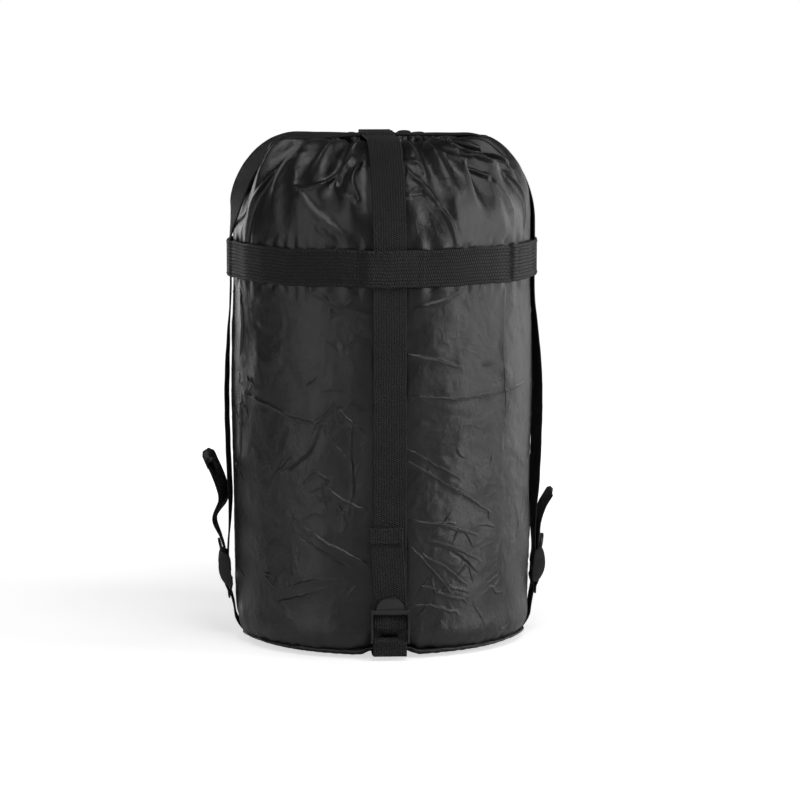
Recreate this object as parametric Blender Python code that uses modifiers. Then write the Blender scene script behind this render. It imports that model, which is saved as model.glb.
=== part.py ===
"""Compression sack: a drawstring sack squeezed by four webbing straps.

Units are metres, +Z is up and the origin is on the floor under the sack's middle. The front of
the sack faces -Y. Each strap is drawn in its own radial plane, where local X points out of the
sack and local Z points up, and an empty at the sack's axis turns it to its side.
"""

import math

import bmesh
import bpy
from mathutils import Matrix, Vector

# Sack: the outer surface is a turned profile of two elliptical corners joined by a tapered wall.
FLAT_R = 0.104
BASE_Z = 0.004
CORNER_R = 0.0188
CORNER_Z = 0.022
WALL_R = 0.1245
WALL_Z = 0.300
DOME_FLAT_R = 0.069
DOME_START_Z = 0.345
DOME_TOP_Z = 0.4155
MOUTH = [(0.0340, 0.3895), (0.0430, 0.3880), (0.0520, 0.3885), (0.0590, 0.3925), (0.0635, 0.4010),
         (0.0665, 0.4095)]
SEAM_ANGLE = math.radians(-50)
CLOTH = 0.0012
SACK_STEPS = 40
CORNER_STEPS = 5
DOME_STEPS = 9

# Webbing and the gap that touching pieces keep.
GAP = 0.0003
WEB_WIDTH = 0.027
WEB_THICK = 0.0014
PLY = WEB_THICK + GAP
BAND_HEIGHT = 0.030
BAND_MIDDLE_Z = 0.3165
TUNNEL_LIFT = 0.0024
TUNNEL_FLAT = math.radians(7.5)
TUNNEL_END = math.radians(11)
BAND_STEP = math.radians(2.5)
STRAP_R = WALL_R + GAP + WEB_THICK / 2
STRAP_TOP_Z = 0.4172
CROSSING_LIFT = 0.0018
CROSSING_HALF = 0.0170
CROSSING_RAMP = 0.0070
UNDER_HALF = 0.0165
UNDER_RAMP = 0.0035

# Ladder-lock buckle, measured from its lower bar: local X is out, local Z is up the strap.
SIDE_PLATE = [
    (-0.0004, -0.0024), (-0.0022, -0.0012), (-0.0026, 0.0050), (-0.0026, 0.0160),
    (-0.0016, 0.0240), (0.0014, 0.0268), (0.0046, 0.0256), (0.0066, 0.0190),
    (0.0072, 0.0120), (0.0058, 0.0050), (0.0022, -0.0010), (-0.0004, -0.0024),
]
BUCKLE_WIDTH = 0.031
PLATE_THICK = 0.0016
BAR_R = 0.00175
GRIP_BAR_R = 0.0016
GRIP_BAR_UP = 0.012
TAB_BAR_UP = 0.0246
TAB_BAR_OUT = 0.0029
TAB_RISE = 0.0115
TAB_HALF_WIDTH = 0.0115
TAB_THICK = 0.0018
TAB_LEAN = math.radians(8)
TAB_SINK = 0.0012
TAB_BAR_HALF = (0.0012, 0.0018)
LOOP_R = GRIP_BAR_R + GAP + WEB_THICK / 2

# Drawcord, its channel and the cord lock, which lies between the straps behind the crossing.
CHANNEL_R = 0.0285
CHANNEL_Z = 0.394
CHANNEL_TUBE_R = 0.005
CHANNEL_HOLLOW_R = 0.0037
EYELET_R = 0.0034
CORD_R = 0.0010
STRAND_RISE = 0.00125
CORD_RING_GAP = math.radians(14)
CORD_RING_STEPS = 28
CORD_BEND = (0.0010, 0.0030, 0.9 * STRAND_RISE)
CORD_LEAVES_AT = 0.0060
KNOT_ENTRY = (0.0015, 0.0010)
LOCK_AZIMUTH = math.radians(45)
LOCK_R = 0.0455
LOCK_Z = 0.3965
BARREL_R = 0.0065
BARREL_BORE_R = 0.0048
BARREL_FROM, BARREL_TO = -0.0125, 0.0065
BARREL_WALL = 0.0015
PLUNGER_R = 0.0045
PLUNGER_FROM, PLUNGER_TO = -0.0034, 0.0120
SLOT_FROM, SLOT_TO = -0.0018, 0.0058
SLOT_HALF_HEIGHT = 0.0031
BARREL_HOLE_HALF_WIDTH = 0.0017
SPRING_R = 0.0034
SPRING_WIRE_R = 0.0003
SPRING_TURNS = 3
KNOT_R = 0.0034
KNOT_OUT, KNOT_UP = 0.0132, 0.0040
CUTTER_REACH = 0.01

# The four sides: azimuth, the buckle's lower bar (radius, height), its lean, and the free tail.
SIDES = {
    "front": {"azimuth": -90, "bar": (0.1272, 0.0160), "lean": 2},
    "right": {"azimuth": 0, "bar": (0.1276, 0.0460), "lean": 4},
    "back": {"azimuth": 90, "bar": (0.1272, 0.0160), "lean": 2},
    "left": {"azimuth": 180, "bar": (0.1284, 0.0445), "lean": 6},
}
# How far each strap stands off the sack between the band and the buckle: (height, stand-off).
BOWS = {
    "front": [(0.250, 0.0), (0.180, 0.0), (0.110, 0.0004), (0.070, 0.0008), (0.054, 0.0012)],
    "right": [(0.250, 0.0026), (0.200, 0.0048), (0.150, 0.0040), (0.105, 0.0022)],
    "back": [(0.250, 0.0), (0.180, 0.0), (0.110, 0.0004), (0.070, 0.0008), (0.054, 0.0012)],
    "left": [(0.250, 0.0024), (0.200, 0.0042), (0.150, 0.0034), (0.110, 0.0022)],
}
# Each free tail above its buckle, to the fold at its end: (radius, height).
TAILS = {
    "front": [(0.1283, 0.058), (0.1276, 0.080), (0.1270, 0.107)],
    "right": [(0.1306, 0.084), (0.1312, 0.096), (0.1350, 0.108), (0.1410, 0.118)],
    "back": [(0.1283, 0.058), (0.1276, 0.080), (0.1270, 0.107)],
    "left": [(0.1348, 0.083), (0.1398, 0.098), (0.1325, 0.114), (0.1345, 0.128), (0.1436, 0.150)],
}
TAIL_FOLD = 0.011
FOLD_STEPS = 5
# The sewn end of a bottom strap, from its raw edge and its last stitches to the buckle's lower bar.
SEWN_END, SEWN_TO = 0.0122, 0.0062
BACK_TO = 0.0085
WRAP_FROM, WRAP_TURN, WRAP_STEPS = math.radians(-15), math.radians(210), 9
CORNER_STAND_OFF = 0.0014
CORNER_FROM_HIGH, CORNER_FROM_LOW = math.radians(-20), math.radians(-64)
HIGH_BUCKLE = 0.03
WALL_FOOT_R = FLAT_R + CORNER_R


def collection(name, hidden=False):
    made = bpy.data.collections.new(name)
    bpy.context.scene.collection.children.link(made)
    made.hide_render = hidden
    return made


def material(name, colour, roughness, metallic=0.0):
    made = bpy.data.materials.new(name)
    made.use_nodes = True
    shader = made.node_tree.nodes["Principled BSDF"]
    shader.inputs["Base Color"].default_value = (*colour, 1)
    shader.inputs["Roughness"].default_value = roughness
    shader.inputs["Metallic"].default_value = metallic
    return made


def add(name, mesh, surface, parent=None):
    """A new object of the sack, with its material."""
    obj = bpy.data.objects.new(name, mesh)
    SACK.objects.link(obj)
    obj.parent = parent
    if surface:
        mesh.materials.clear()
        mesh.materials.append(surface)
    return obj


def cutter(name, mesh):
    obj = bpy.data.objects.new(name, mesh)
    CUTTERS.objects.link(obj)
    obj.hide_render = True
    obj.display_type = "WIRE"
    return obj


def boolean(obj, other, operation):
    made = obj.modifiers.new(operation.title(), "BOOLEAN")
    made.operation = operation
    made.object = other


def settled(obj):
    """The object's mesh with its modifiers in it, and the object removed."""
    bpy.context.view_layer.update()
    graph = bpy.context.evaluated_depsgraph_get()
    mesh = bpy.data.meshes.new_from_object(obj.evaluated_get(graph), depsgraph=graph)
    bm = bmesh.new()
    bm.from_mesh(mesh)
    bmesh.ops.remove_doubles(bm, verts=bm.verts, dist=1e-6)
    bm.to_mesh(mesh)
    bm.free()
    mesh.transform(obj.matrix_world)
    bpy.data.objects.remove(obj)
    return mesh


def smooth(mesh, angle=35):
    mesh.shade_smooth()
    mesh.set_sharp_from_angle(angle=math.radians(angle))


def spline(points, per_span=4):
    """A Catmull-Rom curve through 2D points."""
    points = [Vector(p) for p in points]
    ends = [2 * points[0] - points[1], *points, 2 * points[-1] - points[-2]]
    out = []
    for a, b, c, d in zip(ends, ends[1:], ends[2:], ends[3:]):
        for i in range(per_span):
            t = i / per_span
            out.append(
                0.5 * (2 * b + (c - a) * t + (2 * a - 5 * b + 4 * c - d) * t**2
                       + (3 * b - 3 * c + d - a) * t**3)
            )
    return [*out, points[-1]]


def ellipse(centre, semi, start, end, steps):
    """Points of an elliptical arc from angle start to end, both in radians."""
    angles = [start + (end - start) * i / steps for i in range(steps + 1)]
    return [
        Vector((centre[0] + semi[0] * math.cos(a), centre[1] + semi[1] * math.sin(a)))
        for a in angles
    ]


def ribbon(name, path, surface, parent, width=WEB_WIDTH, thick=WEB_THICK):
    """Webbing: a path in the local XZ plane, drawn out along Y and given its thickness."""
    bm = bmesh.new()
    verts = [bm.verts.new((x, -width / 2, z)) for x, z in path]
    edges = [bm.edges.new(pair) for pair in zip(verts, verts[1:])]
    grown = bmesh.ops.extrude_edge_only(bm, edges=edges)["geom"]
    moved = [v for v in grown if isinstance(v, bmesh.types.BMVert)]
    bmesh.ops.translate(bm, verts=moved, vec=(0, width, 0))
    bmesh.ops.recalc_face_normals(bm, faces=bm.faces)
    mesh = bpy.data.meshes.new(name)
    bm.to_mesh(mesh)
    bm.free()
    obj = add(name, mesh, surface, parent)
    solidify = obj.modifiers.new("Thickness", "SOLIDIFY")
    solidify.thickness = thick
    solidify.offset = 0
    solidify.use_even_offset = True
    return obj


def turned(name, profile, surface, thick):
    """A shell: an open profile of (radius, height), top first, turned and thickened inwards."""
    mesh = bpy.data.meshes.new(name)
    mesh.from_pydata([(r, 0, z) for r, z in profile], [(i, i + 1) for i in range(len(profile) - 1)], [])
    obj = add(name, mesh, surface)
    screw = obj.modifiers.new("Turn", "SCREW")
    screw.steps = screw.render_steps = SACK_STEPS
    screw.use_merge_vertices = True
    screw.merge_threshold = 1e-5
    screw.use_smooth_shade = True
    solidify = obj.modifiers.new("Thickness", "SOLIDIFY")
    solidify.thickness = thick
    solidify.offset = -1
    solidify.use_even_offset = True
    return obj


def cylinder(name, radius, start, end, segments=20):
    """A cylinder along X from start to end."""
    bm = bmesh.new()
    bmesh.ops.create_cone(
        bm, cap_ends=True, segments=segments, radius1=radius, radius2=radius, depth=end - start
    )
    bmesh.ops.rotate(bm, verts=bm.verts, matrix=Matrix.Rotation(math.radians(90), 3, "Y"))
    bmesh.ops.translate(bm, verts=bm.verts, vec=((start + end) / 2, 0, 0))
    mesh = bpy.data.meshes.new(name)
    bm.to_mesh(mesh)
    bm.free()
    return mesh


def block(name, low, high):
    """A box between two corners."""
    bm = bmesh.new()
    bmesh.ops.create_cube(bm, size=1)
    size = Vector(high) - Vector(low)
    bmesh.ops.scale(bm, verts=bm.verts, vec=size)
    bmesh.ops.translate(bm, verts=bm.verts, vec=(Vector(low) + Vector(high)) / 2)
    mesh = bpy.data.meshes.new(name)
    bm.to_mesh(mesh)
    bm.free()
    return mesh


def plate(name, outline, thick):
    """A flat outline in the local XZ plane, thickened along Y about its own plane."""
    curve = bpy.data.curves.new(name, "CURVE")
    curve.dimensions = "2D"
    curve.fill_mode = "BOTH"
    curve.extrude = thick / 2
    line = curve.splines.new("POLY")
    line.points.add(len(outline) - 1)
    for point, (x, z) in zip(line.points, outline):
        point.co = (x, z, 0, 1)
    line.use_cyclic_u = True
    obj = bpy.data.objects.new(name, curve)
    CUTTERS.objects.link(obj)
    obj.rotation_euler = (math.radians(90), 0, 0)
    return settled(obj)


def tube(name, points, radius, surface, parent=None, resolution=2):
    """A round cord or wire through 3D points."""
    curve = bpy.data.curves.new(name, "CURVE")
    curve.dimensions = "3D"
    curve.bevel_depth = radius
    curve.bevel_resolution = resolution
    curve.use_fill_caps = True
    line = curve.splines.new("POLY")
    line.points.add(len(points) - 1)
    for point, co in zip(line.points, points):
        point.co = (*co, 1)
    return add(name, curve, surface, parent)


def wall_radius(z):
    """The sack's outer radius at a height between the bottom corner and the band."""
    if z >= WALL_Z:
        return WALL_R
    low = BASE_Z + CORNER_Z
    if z >= low:
        return WALL_FOOT_R + (WALL_R - WALL_FOOT_R) * (z - low) / (WALL_Z - low)
    return FLAT_R + CORNER_R * math.sqrt(1 - ((low - z) / CORNER_Z) ** 2)


def sack_cloth():
    """The gathered top, the side panel under it and the round base panel, each a turned shell."""
    corner = (FLAT_R, BASE_Z + CORNER_Z)
    dome = ellipse(
        (DOME_FLAT_R, DOME_START_Z),
        (WALL_R - DOME_FLAT_R, DOME_TOP_Z - DOME_START_Z),
        math.radians(90), 0, DOME_STEPS,
    )
    turned("top_panel", [*MOUTH, *dome, (WALL_R, BAND_MIDDLE_Z + GAP / 2)], NYLON, CLOTH)
    low = ellipse(corner, (CORNER_R, CORNER_Z), 0, SEAM_ANGLE, CORNER_STEPS)
    upper = [(WALL_R, BAND_MIDDLE_Z - GAP / 2), (WALL_R, WALL_Z)]
    turned("side_panel", [*upper, *low], NYLON, CLOTH)
    seam_gap = GAP / CORNER_R
    panel = ellipse(corner, (CORNER_R, CORNER_Z), SEAM_ANGLE - seam_gap, math.radians(-90), 4)
    turned("base_panel", [*panel, (0, BASE_Z)], NYLON, CLOTH)


def mouth():
    """The hollow drawstring channel around the mouth, with the eyelet that the cord leaves by."""
    bpy.ops.mesh.primitive_torus_add(
        major_radius=CHANNEL_R, minor_radius=CHANNEL_TUBE_R, major_segments=32, minor_segments=10
    )
    outer = bpy.context.object
    bpy.ops.mesh.primitive_torus_add(
        major_radius=CHANNEL_R, minor_radius=CHANNEL_HOLLOW_R, major_segments=32, minor_segments=10
    )
    hollow = bpy.context.object
    boolean(outer, hollow, "DIFFERENCE")
    eyelet = cutter("eyelet_hole", cylinder("eyelet_hole", EYELET_R, CHANNEL_R, CHANNEL_R + CUTTER_REACH))
    eyelet.rotation_euler.z = LOCK_AZIMUTH
    boolean(outer, eyelet, "DIFFERENCE")
    mesh = settled(outer)
    bpy.data.objects.remove(hollow)
    smooth(mesh)
    channel = add("drawstring_channel", mesh, NYLON)
    channel.location.z = CHANNEL_Z


def drawcord():
    """The cord: round its channel, both ends out of the eyelet, through the lock and into a knot."""
    ring = []
    for i in range(CORD_RING_STEPS + 1):
        angle = CORD_RING_GAP + (2 * math.pi - 2 * CORD_RING_GAP) * i / CORD_RING_STEPS
        ring.append(Vector((CHANNEL_R * math.cos(angle), CHANNEL_R * math.sin(angle), CHANNEL_Z)))
    strand = [
        (LOCK_R + KNOT_OUT - KNOT_ENTRY[0], KNOT_UP - KNOT_ENTRY[1]), (LOCK_R + BARREL_R, 0.0),
        (LOCK_R - BARREL_R, 0.0), (CHANNEL_R + CORD_LEAVES_AT, CHANNEL_Z - LOCK_Z),
    ]
    out_upper = [Vector((r, 0, LOCK_Z + STRAND_RISE + dz)) for r, dz in strand]
    out_lower = [Vector((r, 0, LOCK_Z - STRAND_RISE + dz)) for r, dz in strand]
    bend_up = Vector((CHANNEL_R + CORD_BEND[0], CORD_BEND[1], CHANNEL_Z + CORD_BEND[2]))
    bend_down = Vector((CHANNEL_R + CORD_BEND[0], -CORD_BEND[1], CHANNEL_Z - CORD_BEND[2]))
    points = [*out_upper, bend_up, *ring, bend_down, *reversed(out_lower)]
    cord_mesh = settled(tube("cord_line", points, CORD_R, None))
    obj = add("drawcord", cord_mesh, CORD)
    bm = bmesh.new()
    bmesh.ops.create_uvsphere(bm, u_segments=12, v_segments=8, radius=KNOT_R)
    bmesh.ops.translate(bm, verts=bm.verts, vec=(LOCK_R + KNOT_OUT, 0, LOCK_Z + KNOT_UP))
    knot_mesh = bpy.data.meshes.new("cord_knot")
    bm.to_mesh(knot_mesh)
    bm.free()
    boolean(obj, cutter("cord_knot", knot_mesh), "UNION")
    joined = settled(obj)
    smooth(joined)
    made = add("drawcord", joined, CORD)
    made.rotation_euler.z = LOCK_AZIMUTH


def cord_lock():
    """Barrel, sprung plunger and spring. Local X is the plunger's axis, and the cord runs along Y."""
    hub = bpy.data.objects.new("cord_lock_place", None)
    SACK.objects.link(hub)
    hub.location = (LOCK_R * math.cos(LOCK_AZIMUTH), LOCK_R * math.sin(LOCK_AZIMUTH), LOCK_Z)
    hub.rotation_euler.z = LOCK_AZIMUTH - math.radians(90)

    barrel = add("barrel_blank", cylinder("barrel", BARREL_R, BARREL_FROM, BARREL_TO), PLASTIC)
    bore = cylinder("barrel_bore", BARREL_BORE_R, BARREL_FROM + BARREL_WALL, BARREL_TO + CUTTER_REACH)
    boolean(barrel, cutter("barrel_bore", bore), "DIFFERENCE")
    hole = block(
        "cord_hole",
        (-BARREL_HOLE_HALF_WIDTH, -CUTTER_REACH, -SLOT_HALF_HEIGHT),
        (BARREL_HOLE_HALF_WIDTH, CUTTER_REACH, SLOT_HALF_HEIGHT),
    )
    boolean(barrel, cutter("cord_hole", hole), "DIFFERENCE")
    barrel_mesh = settled(barrel)
    smooth(barrel_mesh)
    add("cord_lock_barrel", barrel_mesh, PLASTIC, hub)

    plunger = add("plunger_blank", cylinder("plunger", PLUNGER_R, PLUNGER_FROM, PLUNGER_TO), PLASTIC)
    slot = block(
        "plunger_slot",
        (SLOT_FROM, -CUTTER_REACH, -SLOT_HALF_HEIGHT),
        (SLOT_TO, CUTTER_REACH, SLOT_HALF_HEIGHT),
    )
    boolean(plunger, cutter("plunger_slot", slot), "DIFFERENCE")
    plunger_mesh = settled(plunger)
    smooth(plunger_mesh)
    add("cord_lock_plunger", plunger_mesh, PLASTIC, hub)

    start = BARREL_FROM + BARREL_WALL + GAP + SPRING_WIRE_R
    length = PLUNGER_FROM - GAP - SPRING_WIRE_R - start
    per_turn = 10
    coil = []
    for i in range(SPRING_TURNS * per_turn + 1):
        angle = 2 * math.pi * i / per_turn
        along = start + length * i / (SPRING_TURNS * per_turn)
        coil.append((along, SPRING_R * math.cos(angle), SPRING_R * math.sin(angle)))
    tube("cord_lock_spring", coil, SPRING_WIRE_R, STEEL, hub, resolution=1)


def buckle_mesh():
    """One ladder-lock: two bowed side plates, a lower bar, a grip bar and a tab bar with its tab."""
    outline = spline(SIDE_PLATE, 2)[:-1]
    side = (BUCKLE_WIDTH - PLATE_THICK) / 2
    inside = BUCKLE_WIDTH / 2 - PLATE_THICK / 2
    body = add("buckle_blank", plate("side_plate", outline, PLATE_THICK), PLASTIC)
    body.location.y = side
    other = cutter("other_plate", body.data.copy())
    other.location.y = -side
    boolean(body, other, "UNION")
    bar = cylinder("lower_bar", BAR_R, -inside, inside, 12)
    bar_object = cutter("lower_bar", bar)
    bar_object.rotation_euler.z = math.radians(90)
    boolean(body, bar_object, "UNION")
    grip_bar = cutter("grip_bar", cylinder("grip_bar", GRIP_BAR_R, -inside, inside, 12))
    grip_bar.rotation_euler.z = math.radians(90)
    grip_bar.location.z = GRIP_BAR_UP
    boolean(body, grip_bar, "UNION")
    tab_bar = block(
        "tab_bar",
        (TAB_BAR_OUT - TAB_BAR_HALF[0], -inside, TAB_BAR_UP - TAB_BAR_HALF[1]),
        (TAB_BAR_OUT + TAB_BAR_HALF[0], inside, TAB_BAR_UP + TAB_BAR_HALF[1]),
    )
    boolean(body, cutter("tab_bar", tab_bar), "UNION")
    arc = ellipse((0, 0), (TAB_HALF_WIDTH, TAB_RISE), 0, math.pi, 12)
    root = [(-TAB_HALF_WIDTH, -TAB_SINK), (TAB_HALF_WIDTH, -TAB_SINK)]
    tab = cutter("tab", plate("tab", [*arc, *root], TAB_THICK))
    tab.rotation_euler = (0, TAB_LEAN, math.radians(90))
    tab.rotation_mode = "ZYX"
    tab.location = (TAB_BAR_OUT, 0, TAB_BAR_UP + TAB_SINK)
    boolean(body, tab, "UNION")
    mesh = settled(body)
    smooth(mesh)
    return mesh


class Side:
    """One side of the sack: its empty, and its buckle's place in that side's radial plane."""

    def __init__(self, name):
        facts = SIDES[name]
        self.name = name
        self.radius, self.height = facts["bar"]
        self.lean = math.radians(facts["lean"])
        self.hub = bpy.data.objects.new(name + "_side", None)
        SACK.objects.link(self.hub)
        self.hub.rotation_euler.z = math.radians(facts["azimuth"])

    def at(self, out, up):
        """A point given from the buckle's lower bar, in the side's radial plane."""
        s, c = math.sin(self.lean), math.cos(self.lean)
        return Vector((self.radius + out * c + up * s, self.height - out * s + up * c))

    def buckle(self, mesh):
        obj = add(self.name + "_buckle", mesh, None, self.hub)
        obj.location = (self.radius, 0, self.height)
        obj.rotation_euler.y = self.lean

    def long_strap(self):
        """The strap from under the band down to the buckle, behind the tab bar and grip bar."""
        points = [(STRAP_R, BAND_MIDDLE_Z - GAP), (STRAP_R, BAND_MIDDLE_Z - 0.030)]
        for z, stand_off in BOWS[self.name]:
            points.append((wall_radius(z) + GAP + WEB_THICK / 2 + stand_off, z))
        points += [self.at(-0.0021, 0.0246), self.at(-LOOP_R, 0.0155)]
        ribbon(self.name + "_strap", spline(points, 3), WEBBING, self.hub)

    def strap_turn(self):
        """The turn of webbing around the buckle's grip bar."""
        arc = ellipse((0, GRIP_BAR_UP), (LOOP_R, LOOP_R), math.pi, 2 * math.pi, 8)
        points = [(-LOOP_R, 0.0152), *arc, (LOOP_R, 0.0152), (0.0014, 0.0186), (0.0007, 0.0205)]
        ribbon(self.name + "_strap_turn", [self.at(*p) for p in points], WEBBING, self.hub)

    def tail(self):
        """The free end: out behind the tab bar, up and ending in a sewn fold."""
        points = [self.at(0.0005, 0.0209), self.at(0.0004, 0.0285), *TAILS[self.name]]
        path = spline(points, 3)
        along = (path[-1] - path[-2]).normalized()
        out = Vector((along.y, -along.x))
        half = PLY / 2
        start = path[-1]
        for i in range(1, FOLD_STEPS + 1):
            turn = math.pi * i / FOLD_STEPS
            path.append(start + out * half * (1 - math.cos(turn)) + along * half * math.sin(turn))
        path.append(path[-1] - along * TAIL_FOLD)
        ribbon(self.name + "_tail", path, WEBBING, self.hub)

    def bottom_path(self):
        """Half a bottom strap: its sewn end, round the buckle's lower bar and down to the floor."""
        end = [self.at(PLY / 2, -SEWN_END), self.at(PLY / 2, -SEWN_TO)]
        wrap = BAR_R + GAP + WEB_THICK / 2
        angles = [WRAP_FROM + WRAP_TURN * i / WRAP_STEPS for i in range(WRAP_STEPS + 1)]
        turn = [self.at(wrap * math.cos(a), wrap * math.sin(a)) for a in angles]
        back = [self.at(-PLY / 2, -SEWN_TO), self.at(-PLY / 2, -BACK_TO)]
        high = self.height > HIGH_BUCKLE
        corner = ellipse(
            (FLAT_R, BASE_Z + CORNER_Z),
            (CORNER_R + CORNER_STAND_OFF, BASE_Z + CORNER_Z - WEB_THICK / 2),
            CORNER_FROM_HIGH if high else CORNER_FROM_LOW, math.radians(-90), CORNER_STEPS,
        )
        if high:
            corner.insert(0, Vector((WALL_FOOT_R + CORNER_STAND_OFF, BASE_Z + CORNER_Z)))
        return [*end, *turn, *back, *corner]


def bottom_strap(name, near, far, crosses_over):
    """A strap under the sack from one buckle to the opposite one, sewn to the base panel."""
    first = near.bottom_path()
    last = [Vector((-x, z)) for x, z in reversed(far.bottom_path())]
    floor = WEB_THICK / 2
    if crosses_over:
        raised = floor + PLY
        foot = UNDER_HALF + UNDER_RAMP
        middle = [(foot, floor), (UNDER_HALF, raised), (-UNDER_HALF, raised), (-foot, floor)]
    else:
        middle = [(UNDER_HALF, floor), (-UNDER_HALF, floor)]
    ribbon(name, [*first, *map(Vector, middle), *last], WEBBING, near.hub)


def top_strap(name, hub, crosses_over):
    """A strap over the top of the sack, from under the band on one side to the other."""
    dome = ellipse(
        (DOME_FLAT_R, DOME_START_Z),
        (STRAP_R - DOME_FLAT_R, STRAP_TOP_Z - DOME_START_Z),
        0, math.radians(90), DOME_STEPS,
    )
    half = [Vector((STRAP_R, BAND_MIDDLE_Z)), *dome]
    if crosses_over:
        top = STRAP_TOP_Z + CROSSING_LIFT
        foot = CROSSING_HALF + CROSSING_RAMP
        half += [Vector((foot, STRAP_TOP_Z)), Vector((CROSSING_HALF, top)), Vector((0.0, top))]
    else:
        half.append(Vector((0.0, STRAP_TOP_Z)))
    path = [*half, *[Vector((-x, z)) for x, z in reversed(half[:-1])]]
    ribbon(name, path, WEBBING, hub)


def band():
    """The band around the sack, lifted into a tunnel where each strap passes under it."""
    count = round(2 * math.pi / BAND_STEP)
    quarter = math.pi / 2
    bm = bmesh.new()
    verts = []
    for i in range(count):
        angle = BAND_STEP * i
        off = abs((angle + quarter / 2) % quarter - quarter / 2)
        share = min(1, max(0, (TUNNEL_END - off) / (TUNNEL_END - TUNNEL_FLAT)))
        radius = STRAP_R + TUNNEL_LIFT * share * share * (3 - 2 * share)
        verts.append(bm.verts.new((radius * math.cos(angle), radius * math.sin(angle), -BAND_HEIGHT / 2)))
    edges = [bm.edges.new((verts[i], verts[(i + 1) % count])) for i in range(count)]
    grown = bmesh.ops.extrude_edge_only(bm, edges=edges)["geom"]
    moved = [v for v in grown if isinstance(v, bmesh.types.BMVert)]
    bmesh.ops.translate(bm, verts=moved, vec=(0, 0, BAND_HEIGHT))
    bmesh.ops.recalc_face_normals(bm, faces=bm.faces)
    mesh = bpy.data.meshes.new("band")
    bm.to_mesh(mesh)
    bm.free()
    obj = add("band", mesh, WEBBING)
    obj.location.z = BAND_MIDDLE_Z
    solidify = obj.modifiers.new("Thickness", "SOLIDIFY")
    solidify.thickness = WEB_THICK
    solidify.offset = 0


def build():
    sack_cloth()
    mouth()
    cord_lock()
    drawcord()
    band()
    sides = {name: Side(name) for name in SIDES}
    top_strap("top_strap_across", sides["right"].hub, crosses_over=False)
    top_strap("top_strap_front_to_back", sides["front"].hub, crosses_over=True)
    bottom_strap("bottom_strap_across", sides["right"], sides["left"], crosses_over=True)
    bottom_strap("bottom_strap_front_to_back", sides["front"], sides["back"], crosses_over=False)
    mesh = buckle_mesh()
    for side in sides.values():
        side.buckle(mesh)
        side.long_strap()
        side.strap_turn()
        side.tail()


for old in list(bpy.data.objects):
    bpy.data.objects.remove(old)
SACK = collection("compression_sack")
CUTTERS = collection("cutters", hidden=True)
NYLON = material("nylon", (0.030, 0.030, 0.032), 0.38)
WEBBING = material("webbing", (0.014, 0.014, 0.014), 0.75)
PLASTIC = material("plastic", (0.022, 0.022, 0.023), 0.45)
CORD = material("cord", (0.015, 0.015, 0.015), 0.7)
STEEL = material("spring_steel", (0.55, 0.55, 0.55), 0.3, 1.0)
build()
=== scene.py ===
"""The looks of the compression sack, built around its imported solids, in metres and in their frame.

The front of the sack faces -Y. A side's own plane has X pointing out of the sack and Z up.
"""

import math

import bmesh
import bpy
import numpy as np
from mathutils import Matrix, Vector


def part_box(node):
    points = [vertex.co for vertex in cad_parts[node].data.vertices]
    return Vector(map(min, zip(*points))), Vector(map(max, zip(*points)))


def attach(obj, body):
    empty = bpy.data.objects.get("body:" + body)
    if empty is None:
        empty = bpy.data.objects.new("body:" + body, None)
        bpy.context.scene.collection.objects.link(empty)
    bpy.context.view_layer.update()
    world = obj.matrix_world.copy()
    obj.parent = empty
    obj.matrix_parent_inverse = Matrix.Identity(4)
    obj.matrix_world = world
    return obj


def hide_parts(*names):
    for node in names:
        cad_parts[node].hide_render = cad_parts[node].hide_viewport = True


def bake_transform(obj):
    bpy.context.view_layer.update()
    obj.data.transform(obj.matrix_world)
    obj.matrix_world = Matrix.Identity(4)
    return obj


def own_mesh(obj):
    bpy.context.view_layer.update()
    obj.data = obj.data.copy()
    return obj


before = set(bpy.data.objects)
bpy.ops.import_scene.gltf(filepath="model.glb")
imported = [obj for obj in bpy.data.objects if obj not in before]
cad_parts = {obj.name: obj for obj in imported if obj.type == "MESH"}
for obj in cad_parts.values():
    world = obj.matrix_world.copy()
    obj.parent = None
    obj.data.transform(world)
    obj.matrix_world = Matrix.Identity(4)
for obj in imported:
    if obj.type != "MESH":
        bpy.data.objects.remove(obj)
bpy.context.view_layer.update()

# The sack's outline, as the solids have it.
WALL_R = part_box("side_panel")[1].x
SEAM_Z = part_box("side_panel")[0].z
BAND_LOW, BAND_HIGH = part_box("band")[0].z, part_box("band")[1].z
BAND_MIDDLE = (BAND_LOW + BAND_HIGH) / 2
FLAT_R = 0.104
BASE_Z = 0.004
CORNER_R, CORNER_Z = 0.0188, 0.022
FOOT_Z = BASE_Z + CORNER_Z
WALL_TOP_Z = 0.300
DOME_FLAT_R, DOME_START_Z, DOME_TOP_Z = 0.069, 0.345, 0.4155
MOUTH = [(0.0665, 0.4095), (0.0635, 0.4010), (0.0590, 0.3925), (0.0520, 0.3885), (0.0430, 0.3880),
         (0.0340, 0.3895)]

# Webbing.
GAP = 0.0003
WEB_WIDTH = 0.027
WEB_THICK = 0.0014
STRAP_R = WALL_R + GAP + WEB_THICK / 2

# The seam of the base panel runs round the bottom corner at this angle.
SEAM_ANGLE = -50

SIDES = {"front": -90, "right": 0, "back": 90, "left": 180}


def spline(points, per_span=4):
    """A Catmull-Rom curve through points of any dimension, as an array."""
    points = np.array(points, float)
    ends = np.vstack([2 * points[0] - points[1], points, 2 * points[-1] - points[-2]])
    t = (np.arange(per_span) / per_span)[:, None]
    out = []
    for a, b, c, d in zip(ends, ends[1:], ends[2:], ends[3:]):
        out.append(
            0.5 * (2 * b + (c - a) * t + (2 * a - 5 * b + 4 * c - d) * t**2
                   + (3 * b - 3 * c + d - a) * t**3)
        )
    return np.vstack([*out, points[-1:]])


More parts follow.
